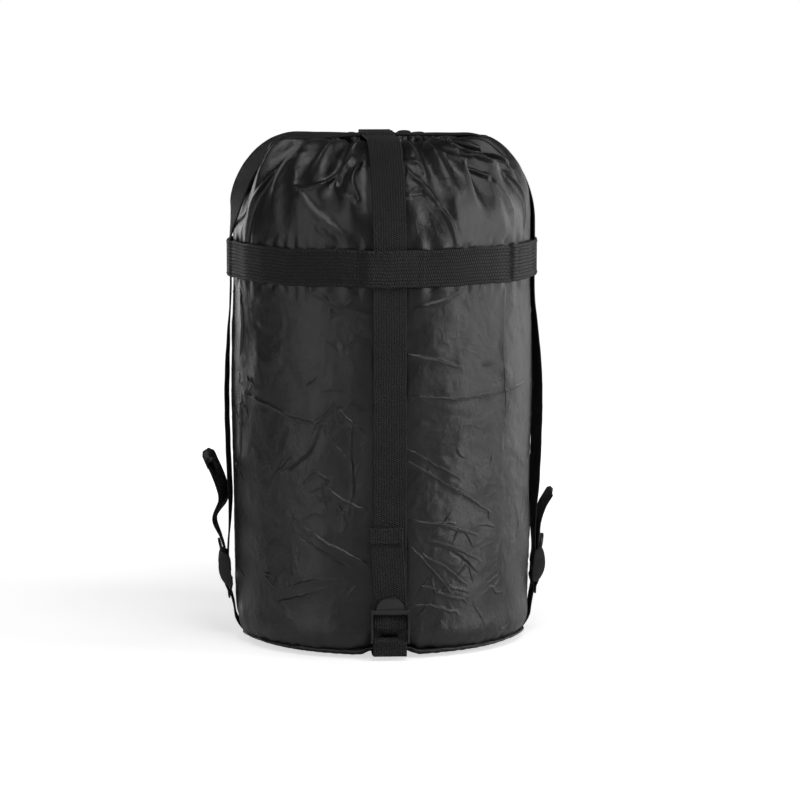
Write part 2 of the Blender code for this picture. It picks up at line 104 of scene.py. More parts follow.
def ellipse(centre, semi, start, end, steps):
    """Points of an elliptical arc between two angles in degrees."""
    a = np.radians(np.linspace(start, end, steps + 1))
    return np.column_stack([centre[0] + semi[0] * np.cos(a), centre[1] + semi[1] * np.sin(a)])


def resample(points, step):
    """Points about step apart along a line, with its ends kept."""
    run = np.concatenate([[0], np.cumsum(np.linalg.norm(np.diff(points, axis=0), axis=1))])
    at = np.linspace(0, run[-1], max(2, round(run[-1] / step) + 1))
    return np.column_stack([np.interp(at, run, points[:, i]) for i in range(points.shape[1])])


def turned(radius, turn, height):
    """Points at radii, angles and heights around the sack."""
    return np.stack([radius * np.cos(turn), radius * np.sin(turn), height], 2)


def smoothstep(low, high, x):
    t = np.clip((x - low) / (high - low), 0, 1)
    return t * t * (3 - 2 * t)


def values(mesh, name):
    """A vector that each vertex has, such as co or normal."""
    found = np.empty(len(mesh.vertices) * 3)
    mesh.vertices.foreach_get(name, found)
    return found.reshape(-1, 3)


def evaluated(obj):
    """A new mesh of an object with its modifiers applied."""
    graph = bpy.context.evaluated_depsgraph_get()
    return bpy.data.meshes.new_from_object(obj.evaluated_get(graph), depsgraph=graph)


def link(name, mesh, material):
    obj = bpy.data.objects.new(name, mesh)
    bpy.context.scene.collection.objects.link(obj)
    mesh.materials.append(material)
    return obj


# ---------------------------------------------------------------- camera, light and floor

# What the camera's frame spans at the sack, in metres.
FRAME_WIDTH = 800 / 1200


def aimed(data, place, target):
    """An object that looks at a point from a place."""
    made = bpy.data.objects.new(data.name, data)
    bpy.context.scene.collection.objects.link(made)
    made.location = place
    made.rotation_euler = (Vector(target) - made.location).to_track_quat("-Z", "Y").to_euler()
    return made


def camera():
    """A long lens, a little above the sack and turned a little to its left."""
    distance, height, turn, aside, aim = 3.0, 0.57, math.radians(3.2), 0.015, 0.1960
    right = Vector((math.cos(turn), -math.sin(turn), 0))
    place = Vector((-math.sin(turn) * distance, -math.cos(turn) * distance, height)) + right * aside
    target = right * aside + Vector((0, 0, aim))
    data = bpy.data.cameras.new("camera")
    data.sensor_width = 36
    data.lens = data.sensor_width * (target - place).length / FRAME_WIDTH
    bpy.context.scene.camera = aimed(data, place, target)


def softbox(name, azimuth, distance, height, size, watts, aim=0.22):
    """A square light at an azimuth seen from above, 0 being the front and 90 the right."""
    data = bpy.data.lights.new(name, "AREA")
    data.shape = "RECTANGLE"
    data.size, data.size_y = size
    data.energy = watts
    a = math.radians(azimuth)
    aimed(data, (math.sin(a) * distance, -math.cos(a) * distance, height), (0, 0, aim))


def studio():
    """Soft boxes at both sides and above, in a pale room that is dim where nothing lights it."""
    softbox("right_key", 67, 1.7, 0.42, (0.40, 1.3), 14)
    softbox("left_key", -55, 1.7, 0.46, (0.36, 1.3), 5.5)
    softbox("right_rim", 122, 1.5, 0.40, (0.90, 1.3), 7)
    softbox("left_rim", -148, 1.5, 0.40, (0.50, 1.3), 5)
    softbox("top_softbox", 20, 1.0, 2.0, (1.1, 0.6), 15)
    softbox("front_fill", -8, 3.4, 1.2, (1.2, 1.0), 1.0)
    softbox("high_left", -50, 1.3, 1.75, (0.40, 0.40), 1.2, 0.20)
    world = bpy.data.worlds.new("studio")
    world.use_nodes = True
    tree = world.node_tree
    back = tree.nodes["Background"]
    back.inputs["Color"].default_value = (1, 1, 1, 1)
    seen = tree.nodes.new("ShaderNodeLightPath")
    strength = tree.nodes.new("ShaderNodeMapRange")
    strength.inputs["To Min"].default_value = 0.032
    strength.inputs["To Max"].default_value = 1.0
    tree.links.new(seen.outputs["Is Camera Ray"], strength.inputs["Value"])
    tree.links.new(strength.outputs["Result"], back.inputs["Strength"])
    bpy.context.scene.world = world
    bpy.context.scene.view_settings.view_transform = "Standard"
    mesh = bpy.data.meshes.new("floor")
    bm = bmesh.new()
    bmesh.ops.create_grid(bm, x_segments=1, y_segments=1, size=30)
    bm.to_mesh(mesh)
    bm.free()
    floor = link("floor", mesh, pale_floor())


def pale_floor():
    """A pale floor that looks brighter the further it is, so that it meets the room with no edge."""
    n = Nodes("pale_floor")
    away = n.add("ShaderNodeVectorMath", operation="LENGTH")
    n.link(n.add("ShaderNodeNewGeometry").outputs["Position"], away.inputs[0])
    glow = n.ramp(away.outputs["Value"], 0.20, 1.6, 0.62, 1.0)
    seen = n.add("ShaderNodeLightPath").outputs["Is Camera Ray"]
    n.fixed("Base Color", (0.80, 0.80, 0.80, 1))
    n.fixed("Roughness", 0.9)
    n.fixed("Specular IOR Level", 0.1)
    n.fixed("Emission Color", (1, 1, 1, 1))
    n.link(n.maths("MULTIPLY", glow, seen), n.shader.inputs["Emission Strength"])
    return n.material


# ---------------------------------------------------------------- materials


class Nodes:
    """A material's node tree with short ways to add and link nodes."""

    def __init__(self, name):
        self.material = bpy.data.materials.new(name)
        self.material.use_nodes = True
        self.tree = self.material.node_tree
        self.shader = self.tree.nodes["Principled BSDF"]

    def add(self, kind, **settings):
        node = self.tree.nodes.new(kind)
        for key, value in settings.items():
            setattr(node, key, value)
        return node

    def link(self, source, target):
        self.tree.links.new(source, target)

    def maths(self, operation, a, b=0.0, c=0.0):
        """A Math node; each input is a socket or a number."""
        node = self.add("ShaderNodeMath", operation=operation)
        for socket, value in zip(node.inputs, (a, b, c)):
            if isinstance(value, (int, float)):
                socket.default_value = value
            else:
                self.link(value, socket)
        return node.outputs["Value"]

    def ramp(self, value, low, high, to_low=0.0, to_high=1.0):
        """A smooth change from one value to another."""
        node = self.add("ShaderNodeMapRange", interpolation_type="SMOOTHSTEP")
        self.link(value, node.inputs["Value"])
        for name, number in (("From Min", low), ("From Max", high), ("To Min", to_low), ("To Max", to_high)):
            node.inputs[name].default_value = number
        return node.outputs["Result"]

    def noise(self, vector, scale, detail=2.0, roughness=0.5, distortion=0.0):
        node = self.add("ShaderNodeTexNoise")
        self.link(vector, node.inputs["Vector"])
        node.inputs["Scale"].default_value = scale
        node.inputs["Detail"].default_value = detail
        node.inputs["Roughness"].default_value = roughness
        node.inputs["Distortion"].default_value = distortion
        return node.outputs["Fac"]

    def stretched(self, vector, scale):
        node = self.add("ShaderNodeMapping")
        self.link(vector, node.inputs["Vector"])
        node.inputs["Scale"].default_value = scale
        return node.outputs["Vector"]

    def place(self):
        return self.add("ShaderNodeTexCoord").outputs["Object"]

    def fixed(self, name, value):
        """Sets a value that is the same all over the surface."""
        self.shader.inputs[name].default_value = value

    def rough(self, *ramp):
        self.link(self.ramp(*ramp), self.shader.inputs["Roughness"])

    def colour(self, fac, dark, light):
        node = self.add("ShaderNodeMix", data_type="RGBA")
        self.link(fac, node.inputs["Factor"])
        node.inputs["A"].default_value = (*dark, 1)
        node.inputs["B"].default_value = (*light, 1)
        self.link(node.outputs["Result"], self.shader.inputs["Base Color"])

    def bump(self, height, distance, strength=1.0, over=None):
        node = self.add("ShaderNodeBump")
        node.inputs["Distance"].default_value = distance
        node.inputs["Strength"].default_value = strength
        self.link(height, node.inputs["Height"])
        if over is not None:
            self.link(over, node.inputs["Normal"])
        self.link(node.outputs["Normal"], self.shader.inputs["Normal"])
        return node.outputs["Normal"]


def nylon():
    """Thin coated nylon: a fine plain weave, a satin sheen and the sharp marks of old folds."""
    n = Nodes("nylon")
    uv = n.add("ShaderNodeUVMap", uv_map="weave").outputs["UV"]
    place = n.place()
    split = n.add("ShaderNodeSeparateXYZ")
    n.link(uv, split.inputs["Vector"])
    warp = n.maths("SINE", n.maths("MULTIPLY", split.outputs["X"], 2 * math.pi / 0.00075))
    weft = n.maths("SINE", n.maths("MULTIPLY", split.outputs["Y"], 2 * math.pi / 0.00075))
    weave = n.maths("MULTIPLY", warp, weft)
    slub = n.noise(n.stretched(uv, (60, 1400, 1)), 1.0, 2)
    cloud = n.noise(place, 26, 3, 0.55)
    crumple = None
    for i, (angle, pitch) in enumerate(((28, 0.034), (-37, 0.041), (67, 0.047), (-8, 0.053))):
        a = math.radians(angle)
        straight = n.maths("MULTIPLY_ADD", split.outputs["X"], math.cos(a) / pitch,
                           n.maths("MULTIPLY", split.outputs["Y"], math.sin(a) / pitch))
        bent = n.maths("MULTIPLY_ADD", n.noise(place, 9 + 3 * i, 2), 2.6, straight)
        fold = n.maths("PINGPONG", bent, 0.5)
        edge = n.ramp(n.maths("ABSOLUTE", n.maths("SUBTRACT", fold, 0.25)), 0.0, 0.05, 1.0, 0.0)
        where = n.ramp(n.noise(place, 17 + 5 * i, 1), 0.52, 0.66)
        layer = n.maths("MULTIPLY", n.maths("MULTIPLY_ADD", edge, 0.10, fold), where)
        crumple = layer if crumple is None else n.maths("ADD", crumple, layer)
    fine = n.noise(place, 150, 3, 0.55, 0.3)
    tone = n.maths("MULTIPLY_ADD", slub, 0.35, n.maths("MULTIPLY", cloud, 0.65))
    n.colour(tone, (0.0045, 0.0045, 0.0048), (0.0115, 0.0115, 0.0121))
    n.rough(cloud, 0.3, 0.7, 0.27, 0.37)
    n.fixed("Specular IOR Level", 0.62)
    n.fixed("Sheen Weight", 0.08)
    n.fixed("Sheen Roughness", 0.4)
    folded = n.bump(crumple, 0.0016, 0.6)
    crinkled = n.bump(fine, 0.0010, 0.45, folded)
    n.bump(n.maths("MULTIPLY_ADD", weave, 0.5, slub), 0.00012, 0.55, crinkled)
    return n.material


def webbing(name, rib, pick, light):
    """Woven webbing: ribs along its length, each crossed by picks that alternate from rib to rib, coloured
    darker in the weave's hollows as painted shade and lighter on its raised tops as painted highlight.
    """
    n = Nodes(name)
    uv = n.add("ShaderNodeUVMap", uv_map="weave").outputs["UV"]
    split = n.add("ShaderNodeSeparateXYZ")
    n.link(uv, split.inputs["Vector"])
    across = n.maths("DIVIDE", split.outputs["X"], rib)
    along = n.maths("DIVIDE", split.outputs["Y"], pick)
    ribs = n.maths("ABSOLUTE", n.maths("SINE", n.maths("MULTIPLY", across, math.pi)))
    odd = n.maths("MULTIPLY", n.maths("FLOOR", across), 0.5)
    picks = n.maths("ABSOLUTE", n.maths("SINE", n.maths("MULTIPLY", n.maths("ADD", along, odd), math.pi)))
    knit = n.maths("MULTIPLY", n.maths("POWER", ribs, 0.6), n.maths("MULTIPLY_ADD", picks, 0.85, 0.15))
    fibre = n.noise(n.stretched(uv, (2600, 900, 1)), 1.0, 3, 0.6)
    wear = n.noise(n.place(), 30, 3)
    height = n.maths("MULTIPLY_ADD", fibre, 0.35, knit)
    # Painted shade and painted highlight: the colour follows the weave's height, dark in its hollows and
    # light on its raised ribs and picks, scaled by a random wear noise.
    n.colour(n.maths("MULTIPLY", height, n.ramp(wear, 0.3, 0.7, 0.55, 0.95)), (0.0015, 0.0015, 0.0016), light)
    n.rough(knit, 0.0, 1.0, 0.80, 0.46)
    n.fixed("Specular IOR Level", 0.38)
    n.fixed("Sheen Weight", 0.04)
    n.bump(height, 0.0008, 0.9)
    return n.material


def plastic():
    """Moulded acetal: fine spark texture and faint flow marks, its convex edges painted lighter as a painted
    highlight and made glossier to a satin shine, with random scuffs a little lighter and glossier as real
    wear.
    """
    n = Nodes("buckle_plastic")
    place = n.place()
    grain = n.noise(place, 2600, 2, 0.6)
    flow = n.noise(n.stretched(place, (90, 90, 260)), 1.0, 3)
    geometry = n.add("ShaderNodeNewGeometry")
    # Painted highlight: convex edges, found by pointiness, are coloured lighter and made glossier; random
    # scuffs add real wear, a little lighter and glossier.
    edge = n.ramp(geometry.outputs["Pointiness"], 0.50, 0.58)
    scuff = n.ramp(n.noise(n.stretched(place, (700, 700, 120)), 1.0, 3), 0.58, 0.70)
    edge_highlight_and_scuff = n.maths("MAXIMUM", edge, n.maths("MULTIPLY", scuff, 0.35))
    n.colour(n.maths("MULTIPLY_ADD", edge_highlight_and_scuff, 0.7, n.maths("MULTIPLY", flow, 0.3)),
             (0.0070, 0.0070, 0.0074), (0.0300, 0.0300, 0.0310))
    n.rough(edge_highlight_and_scuff, 0.0, 1.0, 0.50, 0.34)
    n.bump(n.maths("MULTIPLY_ADD", scuff, -0.5, grain), 0.00006, 0.6)
    return n.material


def thread():
    """Bonded polyester thread: two plies twisted together, coloured lighter where the plies stand up as
    painted highlight and darker where they sink as painted shade.
    """
    n = Nodes("thread")
    place = n.place()
    ply = n.noise(n.stretched(place, (1500, 1500, 4200)), 1.0, 1)
    # Painted highlight and painted shade: the colour follows the same noise as the bump, light on its rises
    # and dark in its dips.
    n.colour(ply, (0.010, 0.010, 0.010), (0.050, 0.050, 0.052))
    n.rough(ply, 0.3, 0.7, 0.45, 0.7)
    n.bump(ply, 0.00008, 0.6)
    return n.material


def braid():
    """Braided cord, coloured darker where its surface sinks between the strands, as painted shade."""
    n = Nodes("braided_cord")
    place = n.place()
    strands = n.add("ShaderNodeTexVoronoi")
    n.link(place, strands.inputs["Vector"])
    strands.inputs["Scale"].default_value = 1500
    fibre = n.noise(place, 5200, 2)
    height = n.maths("MULTIPLY_ADD", fibre, 0.3, strands.outputs["Distance"])
    # Painted shade: the colour darkens with the same height that the bump sinks, so the grooves between the
    # strands are painted dark.
    n.colour(height, (0.022, 0.022, 0.022), (0.006, 0.006, 0.006))
    n.rough(fibre, 0.3, 0.7, 0.6, 0.85)
    n.bump(height, 0.0003, -0.8)
    return n.material


def drawn_wire():
    """Spring wire with fine drawing lines."""
    n = Nodes("spring_wire")
    lines = n.noise(n.stretched(n.place(), (9000, 600, 600)), 1.0, 2)
    n.colour(lines, (0.42, 0.42, 0.43), (0.62, 0.62, 0.63))
    n.fixed("Metallic", 1.0)
    n.rough(lines, 0.3, 0.7, 0.22, 0.38)
    n.bump(lines, 0.00003, 0.5)
    return n.material


# ---------------------------------------------------------------- sack cloth

CLOTH_STEP = 0.0031
CLOTH_COLUMNS = 280
CLOTH_INSET = 0.0014
SIM_FRAMES = 26
SWELLS = [(0.052, 0.0013, 1), (0.029, 0.0008, 2), (0.016, 0.00040, 3), (0.009, 0.00020, 4)]

# How far the cloth bulges behind a side strap, as (height, bulge) points.
BULGES = {
    "right": [(0.012, 0.0), (0.100, 0.0004), (0.150, 0.0014), (0.200, 0.0022), (0.250, 0.0014), (0.292, 0.0)],
    "left": [(0.012, 0.0), (0.045, 0.0016), (0.110, 0.0018), (0.150, 0.0024), (0.200, 0.0028),
             (0.250, 0.0016), (0.292, 0.0)],
}
BULGE_SPREAD = 26

# How deep the twisted top strap presses the left shoulder in, and where, in degrees.
DENT, DENT_MIDDLE, DENT_SPREAD = 0.0088, 186, 17

# The gathered rim: its radius, half width, the height it stands up to, and how high a fold may go.
CREST_R, CREST_HALF, CREST_Z, CREST_LIMIT = 0.067, 0.012, 0.4150, 0.4155

# How far the filling sags to the floor between the straps, and how much it spreads there.
SAG_DROP, SAG_SPREAD = 0.0030, 0.026


def sack_outline():
    """The outline of the cloth from the base seam up, over the shoulder and down to the mouth."""
    low = ellipse((FLAT_R, FOOT_Z), (CORNER_R, CORNER_Z), SEAM_ANGLE, 0, 12)
    dome = ellipse((DOME_FLAT_R, DOME_START_Z), (WALL_R - DOME_FLAT_R, DOME_TOP_Z - DOME_START_Z), 0, 90, 24)
    line = np.vstack([low, [(WALL_R, WALL_TOP_Z)], dome, spline([dome[-1], *MOUTH], 4)[1:]])
    return resample(line, CLOTH_STEP)


def grid(name, rings, material):
    """A closed tube through rings of points: an array of (rows, columns, 3)."""
    rows, columns = rings.shape[:2]
    verts = rings.reshape(-1, 3)
    faces = [
        (r * columns + c, r * columns + (c + 1) % columns,
         (r + 1) * columns + (c + 1) % columns, (r + 1) * columns + c)
        for r in range(rows - 1)
        for c in range(columns)
    ]
    mesh = bpy.data.meshes.new(name)
    mesh.from_pydata(verts.tolist(), [], faces)
    mesh.shade_smooth()
    return link(name, mesh, material)


def strap_share(x, y, half, fade):
    """How fully a place in plan lies under one of the four straps, from 0 to 1."""
    across = np.minimum(np.abs(x), np.abs(y))
    return 1 - smoothstep(half, half + fade, across)


def simulate(obj, rest, pinned):
    """Lets the cloth find its folds: its cut is larger than the room it has, and air fills it."""
    obj.shape_key_add(name="Basis")
    key = obj.shape_key_add(name="cut")
    key.data.foreach_set("co", rest.reshape(-1).astype(np.float32))
    key.value = 0
    group = obj.vertex_groups.new(name="held")
    for weight in np.unique(np.round(pinned, 1)):
        if weight > 0:
            group.add(np.flatnonzero(np.round(pinned, 1) == weight).tolist(), float(weight), "REPLACE")
    cloth = obj.modifiers.new("Cloth", "CLOTH")
    s = cloth.settings
    s.quality = 6
    s.mass = 0.15
    s.tension_stiffness = 25
    s.compression_stiffness = 8
    s.shear_stiffness = 6
    s.bending_stiffness = 0.15
    s.tension_damping = s.compression_damping = s.shear_damping = 6
    s.air_damping = 2
    s.use_pressure = True
    s.uniform_pressure_force = 2.0
    s.vertex_group_mass = "held"
    s.rest_shape_key = key
    s.effector_weights.gravity = 0
    cloth.collision_settings.use_collision = False
    cloth.collision_settings.use_self_collision = False
    cloth.point_cache.frame_start = 1
    cloth.point_cache.frame_end = SIM_FRAMES
    for f in range(1, SIM_FRAMES + 1):
        bpy.context.scene.frame_set(f)
    mesh = evaluated(obj)
    found = values(mesh, "co")
    obj.modifiers.clear()
    obj.shape_key_clear()
    obj.vertex_groups.clear()
    bpy.data.meshes.remove(mesh)
    bpy.context.scene.frame_set(1)
    return found


def start_shape(outline, normal, turn):
    """The cloth before it is let go: round, with shallow waves where it gathers to the mouth."""
    rng = np.random.default_rng(11)
    r, z = outline[:, 0][:, None], outline[:, 1][:, None]
    inside = np.arange(len(outline))[:, None] > outline[:, 1].argmax()
    gather = np.where(inside, 1.0, smoothstep(BAND_HIGH + 0.004, DOME_TOP_Z, z)) * np.ones_like(turn)
    waves = np.zeros_like(gather)
    for count in (5, 8, 11, 14, 19, 25, 33):
        phase, bend = rng.uniform(0, 2 * math.pi, 2)
        lean = rng.uniform(-0.8, 0.8) * gather
        waves += np.sin(count * (turn + 0.12 * lean) + phase + 1.2 * np.sin(3 * turn + bend)) / 7
    offset = waves * gather * 0.016 + rng.normal(0, 0.00012, gather.shape) - CLOTH_INSET
    radius = r + normal[:, 0][:, None] * offset
    height = z + normal[:, 1][:, None] * offset
    return turned(radius, turn, height)


def refined(obj):
    """Gives the cloth one level of subdivision."""
    fine = obj.modifiers.new("Fine", "SUBSURF")
    fine.levels = fine.render_levels = 1
    mesh = evaluated(obj)
    obj.modifiers.clear()
    old = obj.data
    obj.data = mesh
    bpy.data.meshes.remove(old)


def sack_cloth(material):
    outline = sack_outline()
    normal = np.gradient(outline, axis=0)
    normal = np.column_stack([normal[:, 1], -normal[:, 0]])
    normal /= np.linalg.norm(normal, axis=1)[:, None]
    turn = np.linspace(0, 2 * math.pi, CLOTH_COLUMNS, endpoint=False)
    r, z = outline[:, 0][:, None], outline[:, 1][:, None]
    rings = start_shape(outline, normal, turn)
    obj = grid("sack_cloth", rings, material)
    run = np.concatenate([[0], np.cumsum(np.linalg.norm(np.diff(outline, axis=0), axis=1))])

    looseness = 1.006 + 0.034 * smoothstep(BAND_HIGH, DOME_TOP_Z, z)
    cut_r = np.minimum(WALL_R * looseness, r * 1.55)
    length = np.cumsum(np.diff(run, prepend=0) * (1.006 + 0.05 * smoothstep(BAND_HIGH, DOME_TOP_Z, z[:, 0])))
    rest = turned(cut_r, turn, length[:, None] * np.ones_like(turn))
    under_band = (z > BAND_LOW + 0.001) & (z < BAND_HIGH - 0.001)
    held = np.where(under_band, 1.0, 0.0) * np.ones_like(turn)
    held[:2] = 1
    held[-3:] = 1
    on_dome = smoothstep(BAND_HIGH, BAND_HIGH + 0.01, z)
    held = np.maximum(held, strap_share(rings[..., 0], rings[..., 1], 0.012, 0.002) * on_dome)
    found = simulate(obj, rest, held.reshape(-1))
    found = found.reshape(rings.shape)

    obj.data.vertices.foreach_set("co", found.reshape(-1))
    obj.data.update()
    layer = obj.data.uv_layers.new(name="weave")
    rows, columns = rings.shape[:2]
    across = np.linspace(0, 2 * math.pi * WALL_R, columns + 1)
    uv = np.array([
        (across[c + dc], run[w + dw])
        for w in range(rows - 1)
        for c in range(columns)
        for dw, dc in ((0, 0), (0, 1), (1, 1), (1, 0))
    ])
    layer.data.foreach_set("uv", uv.reshape(-1))
    refined(obj)
    dress(obj)
    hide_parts("side_panel", "top_panel")
    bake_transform(obj)


def places(mesh):
    """Each vertex, its normal, and its place on the unrolled wall: around from the front, and height."""
    co, no = values(mesh, "co"), values(mesh, "normal")
    azimuth = (np.degrees(np.arctan2(co[:, 1], co[:, 0])) + 270) % 360 - 180
    return co, no, np.radians(azimuth) * WALL_R, co[:, 2].copy()


def divide_near(mesh, lines, reach):
    """Divides the faces within reach of the crease lines, once."""
    co, _, x, z = places(mesh)
    near = np.zeros(len(co), bool)
    for line in lines:
        low, high = line.min(0) - reach, line.max(0) + reach
        some = np.flatnonzero((x > low[0]) & (x < high[0]) & (z > low[1]) & (z < high[1]) & ~near)
        if len(some):
            near[some] = nearest(x[some], z[some], line)[0] < reach
    bm = bmesh.new()
    bm.from_mesh(mesh)
    edges = [e for e in bm.edges if near[e.verts[0].index] and near[e.verts[1].index]]
    bmesh.ops.subdivide_edges(bm, edges=edges, cuts=1, use_grid_fill=True)
    bm.to_mesh(mesh)
    bm.free()
    mesh.shade_smooth()


def dress(obj):
    """Adds what is finer than the simulation: creases, puckers at the seams and the press of straps."""
    mesh = obj.data
    wanted = [(crease_line(points), width, height) for points, width, height in creases()]
    lines = [line for line, _, _ in wanted]
    divide_near(mesh, lines, 0.0042)
    divide_near(mesh, lines, 0.0022)
    co, no, x, z = places(mesh)
    turn = np.arctan2(co[:, 1], co[:, 0])
    wobble_x = 0.0007 * swell(turn, z, 0.0060, 21) + 0.0004 * swell(turn, z, 0.0031, 22)
    wobble_z = 0.0007 * swell(turn, z, 0.0060, 23) + 0.0004 * swell(turn, z, 0.0031, 24)
    lift = np.zeros(len(co))
    for line, width, height in wanted:
        lift += crease(x + wobble_x, z + wobble_z, line, width, height)
    lift += puckers(x, z, BAND_LOW, -1, 0.0012) + puckers(x, z, BAND_HIGH, 1, 0.0014)
    lift += puckers(x, z, SEAM_Z, 1, 0.0005)
    for size, height, seed in SWELLS:
        lift += height * swell(turn, z, size, seed)
    under = np.maximum(strap_share(co[:, 0], co[:, 1], 0.0135, 0.004), (z > BAND_LOW) & (z < BAND_HIGH))
    lift = np.minimum(lift, 0.0002 + 0.01 * (1 - under))
    # Where a side strap bows out, the filling bulges behind it.
    for name, profile in BULGES.items():
        off = degrees_off(turn, SIDES[name])
        beside = np.exp(-((off / BULGE_SPREAD) ** 2))
        bow = spline(profile)
        lift = np.where(lift < 0, lift * (1 - 0.8 * beside), lift)
        lift += np.interp(z, bow[:, 0], bow[:, 1], 0, 0) * beside
    co += no * lift[:, None]

    # Under the twisted strap at the left the shoulder is pressed in.
    left = np.exp(-((degrees_off(turn, DENT_MIDDLE) / DENT_SPREAD) ** 2))
    press = DENT * left * smoothstep(BAND_HIGH + 0.006, 0.358, z) * (1 - smoothstep(0.398, 0.4135, z))
    co -= no * press[:, None]
    # The gathered rim stands up to the straps that cross it.
    r = np.hypot(co[:, 0], co[:, 1])
    crest = np.exp(-(((r - CREST_R) / CREST_HALF) ** 2)) * smoothstep(0.390, 0.400, co[:, 2])
    co[:, 2] += crest * np.maximum(CREST_Z - co[:, 2], 0) * 0.85
    co[:, 2] -= 0.8 * np.maximum(co[:, 2] - CREST_LIMIT, 0)
    drop, spread = sag(co[:, 0], co[:, 1], co[:, 2])
    co[:, :2] *= spread[:, None]
    co[:, 2] -= drop
    mesh.vertices.foreach_set("co", co.reshape(-1))
    mesh.update()


def sag(x, y, z):
    """Between the straps the filling sags to the floor: how far it drops and spreads at a place."""
    free = 1 - strap_share(x, y, 0.0132, 0.0110)
    low = 1 - smoothstep(0.004, 0.040, z)
    return SAG_DROP * free * low, 1 + SAG_SPREAD * free * low * smoothstep(0.05, 0.11, np.hypot(x, y))


def degrees_off(turn, middle):
    """How many degrees an angle in radians is from a middle in degrees, either way."""
    return (np.degrees(turn) - middle + 180) % 360 - 180


def swell(turn, z, size, seed):
    """Smooth noise from -1 to 1 that closes around the sack, with hills of about one size."""
    count = round(2 * math.pi * WALL_R / size)
    hills = np.random.default_rng(seed).uniform(-1, 1, (count, 64))
    along = (turn / (2 * math.pi) % 1) * count
    up = np.clip(z / (1.5 * size), 0, 62)
    c, r = np.floor(along).astype(int), np.floor(up).astype(int)
    fc, fr = smoothstep(0, 1, along - c), smoothstep(0, 1, up - r)
    c, beside = c % count, (c + 1) % count
    low = hills[c, r] * (1 - fc) + hills[beside, r] * fc
    high = hills[c, r + 1] * (1 - fc) + hills[beside, r + 1] * fc
    return low * (1 - fr) + high * fr


def crease_line(points):
    """The line of a crease on the unrolled wall, through (degrees from the front, height) points."""
    flat = np.array([(math.radians(a) * WALL_R, h) for a, h in points])
    return spline(flat, 4) if len(flat) > 2 else flat


def nearest(x, z, line):
    """How far each place is from a line, on which side, and how far along it."""
    gap = np.full(len(x), 1e9)
    side = np.zeros(len(x))
    share = np.zeros(len(x))
    for i, (a, b) in enumerate(zip(line, line[1:])):
        d = b - a
        t = np.clip(((x - a[0]) * d[0] + (z - a[1]) * d[1]) / (d @ d), 0, 1)
        ox, oz = x - a[0] - t * d[0], z - a[1] - t * d[1]
        here = np.hypot(ox, oz)
        closer = here < gap
        gap = np.where(closer, here, gap)
        side = np.where(closer, np.sign(d[0] * oz - d[1] * ox), side)
        share = np.where(closer, (i + t) / (len(line) - 1), share)
    return gap, side, share


def crease(x, z, line, width, height):
    """The lift of a crease: a sharp ridge with a shallow trough along one side."""
    reach = 6 * width
    low, high = line.min(0) - reach, line.max(0) + reach
    lift = np.zeros(len(x))
    near = np.flatnonzero((x > low[0]) & (x < high[0]) & (z > low[1]) & (z < high[1]))
    if len(near):
        gap, side, share = nearest(x[near], z[near], line)
        taper = np.sin(math.pi * np.clip(share, 0.03, 0.97)) ** 0.5
        ridge = np.exp(-((gap / width) ** 2))
        trough = side * (gap / width) * np.exp(-((gap / (2.4 * width)) ** 2))
        lift[near] = height * 1.35 * taper * (ridge - 0.22 * trough)
    return lift


def puckers(x, z, seam, way, height):
    """Small gathers that run away from a seam, up (1) or down (-1)."""
    away = (z - seam) * way
    wave = np.sin(x / 0.0021 + 1.7 * np.sin(x / 0.013)) + 0.7 * np.sin(x / 0.0037 + 2.1 * np.sin(x / 0.021))
    reach = 0.005 + 0.004 * np.sin(x / 0.017) ** 2
    return height * 0.5 * wave * np.exp(-((away / reach) ** 2)) * (away > 0)


